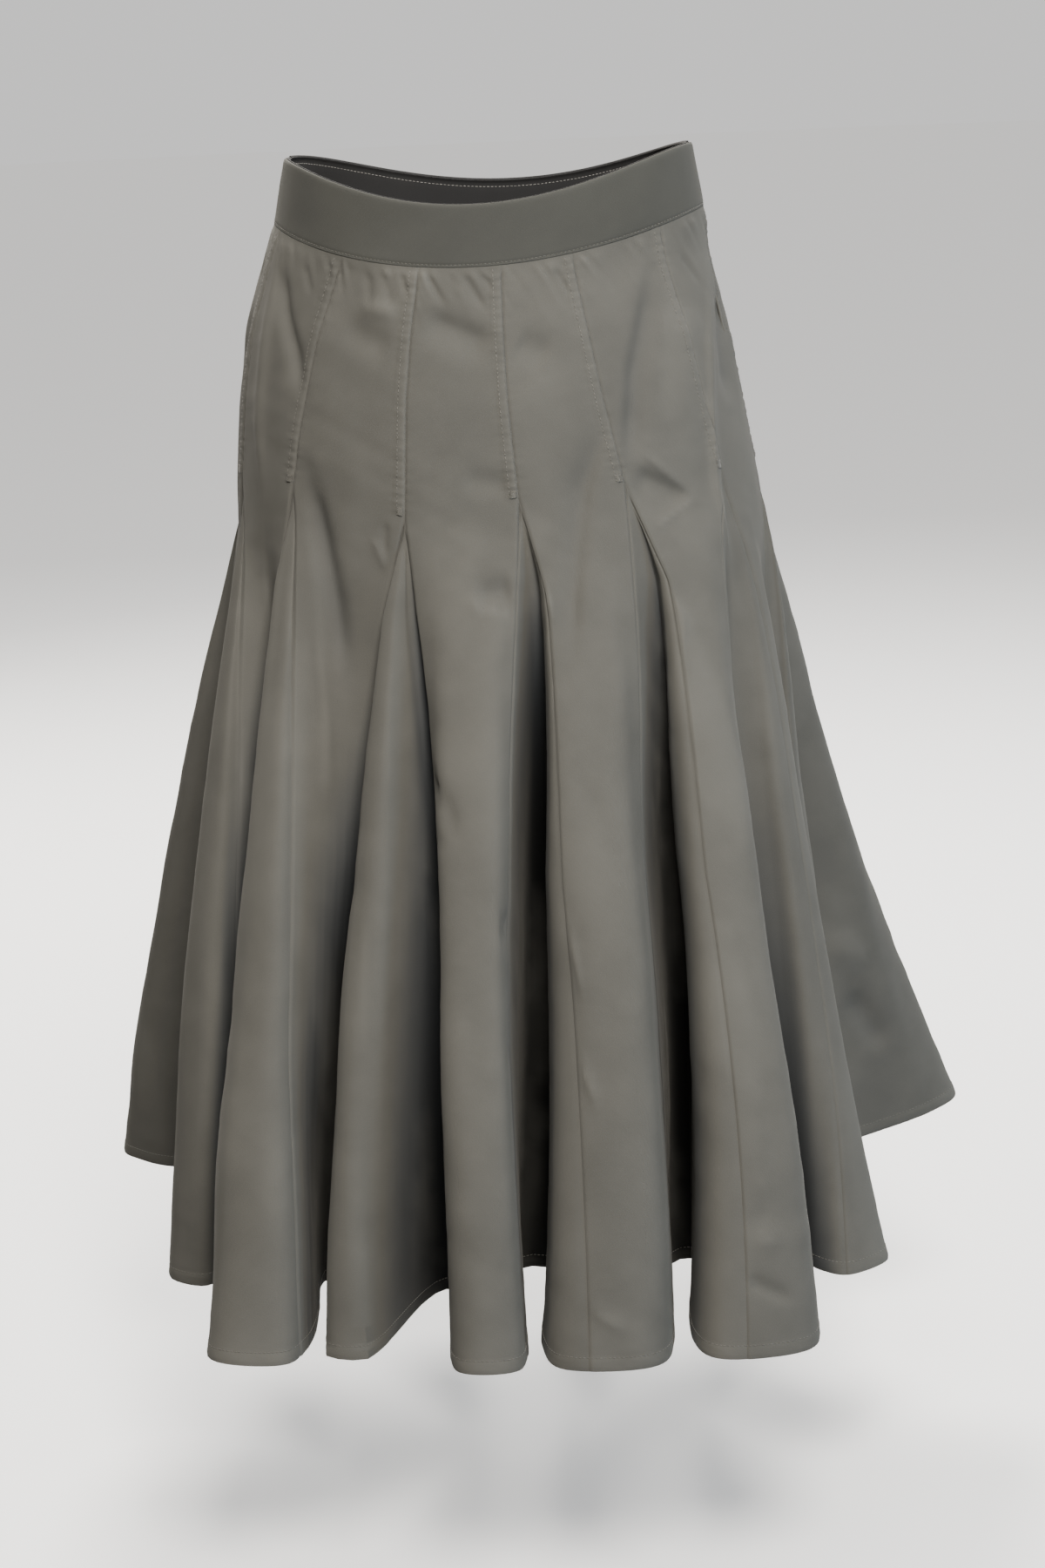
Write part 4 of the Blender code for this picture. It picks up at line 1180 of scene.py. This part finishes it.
def hem_line(cloth):
    """Line of the hem's stitching once round, and its normals."""
    columns = np.arange(cloth.points.shape[1] + 1, dtype=float)
    near = columns.astype(int) % cloth.points.shape[1]
    above = cloth.above_hem[::-1, near]
    index = np.arange(len(above))
    rows = np.array([len(above) - 1 - np.interp(HEM_STITCH, line, index) for line in above.T])
    return cloth.at(cloth.outer, rows, columns), cloth.at(cloth.normals, rows, columns)


def fell_columns(cloth, number):
    """Column of the topstitching beside the seam after a gore, for each row down to the apex."""
    span = panel_columns("gore", number)
    inset = cloth.from_right[1:HIP_ROWS + 1][:, span[1:-1]][:, ::-1]
    return span[-2] - np.array([np.interp(FELL_STITCH, line, np.arange(len(line))) for line in inset])


def fell_line(cloth, number):
    """Line of the topstitching beside the seam after a gore, from the band foot to the apex."""
    rows = np.arange(1, HIP_ROWS + 1, dtype=float)
    columns = fell_columns(cloth, number)
    return cloth.at(cloth.outer, rows, columns), cloth.at(cloth.normals, rows, columns)


# Setting

def aim(place, target):
    """Matrix that stands at place and looks at target, with +Z up."""
    heading = Vector(target) - Vector(place)
    return Matrix.Translation(place) @ heading.to_track_quat("-Z", "Y").to_matrix().to_4x4()


def make_light(name, place, size, power, colour):
    """Round soft light at a place, turned towards the middle of the skirt."""
    light = bpy.data.lights.new(name, "AREA")
    light.shape = "DISK"
    light.size = size
    light.energy = power
    light.color = colour
    lamp = bpy.data.objects.new(name, light)
    lamp.matrix_world = aim(place, AIM)
    bpy.context.scene.collection.objects.link(lamp)


def make_camera():
    """Camera turned by azimuth a, pitch p and roll r.

    It looks along (-sin a cos p, cos a cos p, -sin p).
    """
    a, p, r = np.radians([CAMERA_AZIMUTH, CAMERA_PITCH, CAMERA_ROLL])
    heading = np.array([-np.sin(a) * np.cos(p), np.cos(a) * np.cos(p), -np.sin(p)])
    level = np.array([np.cos(a), np.sin(a), 0])
    upright = np.cross(level, heading)
    right = level * np.cos(r) + upright * np.sin(r)
    up = upright * np.cos(r) - level * np.sin(r)
    lens = bpy.data.cameras.new("camera")
    lens.lens = CAMERA_LENS
    lens.sensor_width = 36
    camera = bpy.data.objects.new("camera", lens)
    turned = Matrix(np.column_stack([right, up, -heading]).tolist()).to_4x4()
    camera.matrix_world = Matrix.Translation(CAMERA_PLACE) @ turned
    bpy.context.scene.collection.objects.link(camera)
    bpy.context.scene.camera = camera


def make_floor():
    """Plain pale floor, a little lit from within, so that no horizon shows."""
    turns = np.linspace(0, 2 * np.pi, 96, endpoint=False)
    ring = np.column_stack([plan_point(np.degrees(turns), FLOOR_RADIUS), FLOOR_LEVEL + 0 * turns])
    mesh = bpy.data.meshes.new("floor")
    mesh.from_pydata(ring.tolist(), [], [list(range(len(turns)))])
    paint = Finish("floor paint", (0.90, 0.90, 0.90), 0.9, Specular_IOR_Level=0.1,
                   Emission_Color=(1.0, 0.99, 0.98, 1), Emission_Strength=0.38)
    grain = paint.noise(paint.add("ShaderNodeTexCoord", output=3), 3.0)
    paint.set("Base Color", paint.mix(grain, (0.89, 0.89, 0.89), (0.91, 0.91, 0.91)))
    mesh.materials.append(paint.material)
    floor = bpy.data.objects.new("floor", mesh)
    floor.visible_diffuse = False
    bpy.context.scene.collection.objects.link(floor)


def make_overhead():
    """Soft light from above and slightly from the front."""
    overhead = bpy.data.lights.new("overhead", "SUN")
    overhead.energy = 1.4
    overhead.angle = np.radians(50)
    overhead.color = (1.0, 0.98, 0.95)
    lamp = bpy.data.objects.new("overhead", overhead)
    lamp.rotation_euler = (np.radians(12), 0, 0)
    bpy.context.scene.collection.objects.link(lamp)


def make_surround():
    """Pale to the eye, as the floor is, and dim as a light, so that the folds stay dark."""
    world = bpy.data.worlds.new("surround")
    world.use_nodes = True
    nodes, links = world.node_tree.nodes, world.node_tree.links
    dim = nodes["Background"]
    dim.inputs[0].default_value = (1.0, 0.96, 0.92, 1)
    dim.inputs[1].default_value = 0.07
    pale = nodes.new("ShaderNodeBackground")
    pale.inputs[0].default_value = (1.0, 0.99, 0.98, 1)
    pale.inputs[1].default_value = 0.84
    seen = nodes.new("ShaderNodeLightPath")
    mix = nodes.new("ShaderNodeMixShader")
    links.new(seen.outputs["Is Camera Ray"], mix.inputs[0])
    links.new(dim.outputs[0], mix.inputs[1])
    links.new(pale.outputs[0], mix.inputs[2])
    links.new(mix.outputs[0], nodes["World Output"].inputs[0])
    bpy.context.scene.world = world


def main():
    """Setting, finishes, panels with their sewing, band, facing, hem and zip."""
    make_camera()
    make_floor()
    make_surround()
    for light in LIGHTS:
        make_light(*light)
    make_overhead()
    cotton = cloth_finish("cotton twill", COTTON, COTTON_RIB, 0.15)
    # Band's cotton: the same cotton painted darker, as painted shade
    band_cotton_in_painted_shade = cloth_finish("cotton twill of the band in painted shade", BAND_COTTON_IN_PAINTED_SHADE, COTTON_RIB, 0.15)
    facing = cloth_finish("facing cloth", FACING, FACING_RIB, 0.1)
    thread = thread_finish("cotton thread", THREAD_COLOUR)
    pale_thread = thread_finish("facing thread", FACING_THREAD_COLOUR)
    metal = metal_finish()
    cloth = dress_cloth(Cloth())
    for number in range(1, len(GODETS) + 1):
        line, upright = fell_line(cloth, number)
        sewing = [make_stitches(f"seam_stitches_{number:02d}", line, upright, thread),
                  make_bar_tack(cloth, number, thread)]
        for kind, with_pieces in (("gore", sewing), ("godet", [])):
            piece, outer = make_panel(cloth, kind, number, cotton)
            width = np.linalg.norm(np.diff(outer, axis=1), axis=-1).sum(axis=1).max()
            length = length_along(outer[:, outer.shape[1] // 2])[-1]
            round(panel_area(outer), 4)
            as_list(with_pieces)
    for piece, rows in make_band(band_cotton_in_painted_shade, thread) + make_facing(facing, pale_thread):
        length = length_along(rows[BAND_MEASURED_ROW])[-1]
    hem, upright = hem_line(cloth)
    make_stitches("hem_stitches", hem, upright, thread)
    make_zip_coil(thread)
    make_zip_pull(metal)
    for node, finish in (("zip", cotton), ("zip_slider", metal)):
        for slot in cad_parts[node].material_slots:
            slot.material = finish


main()
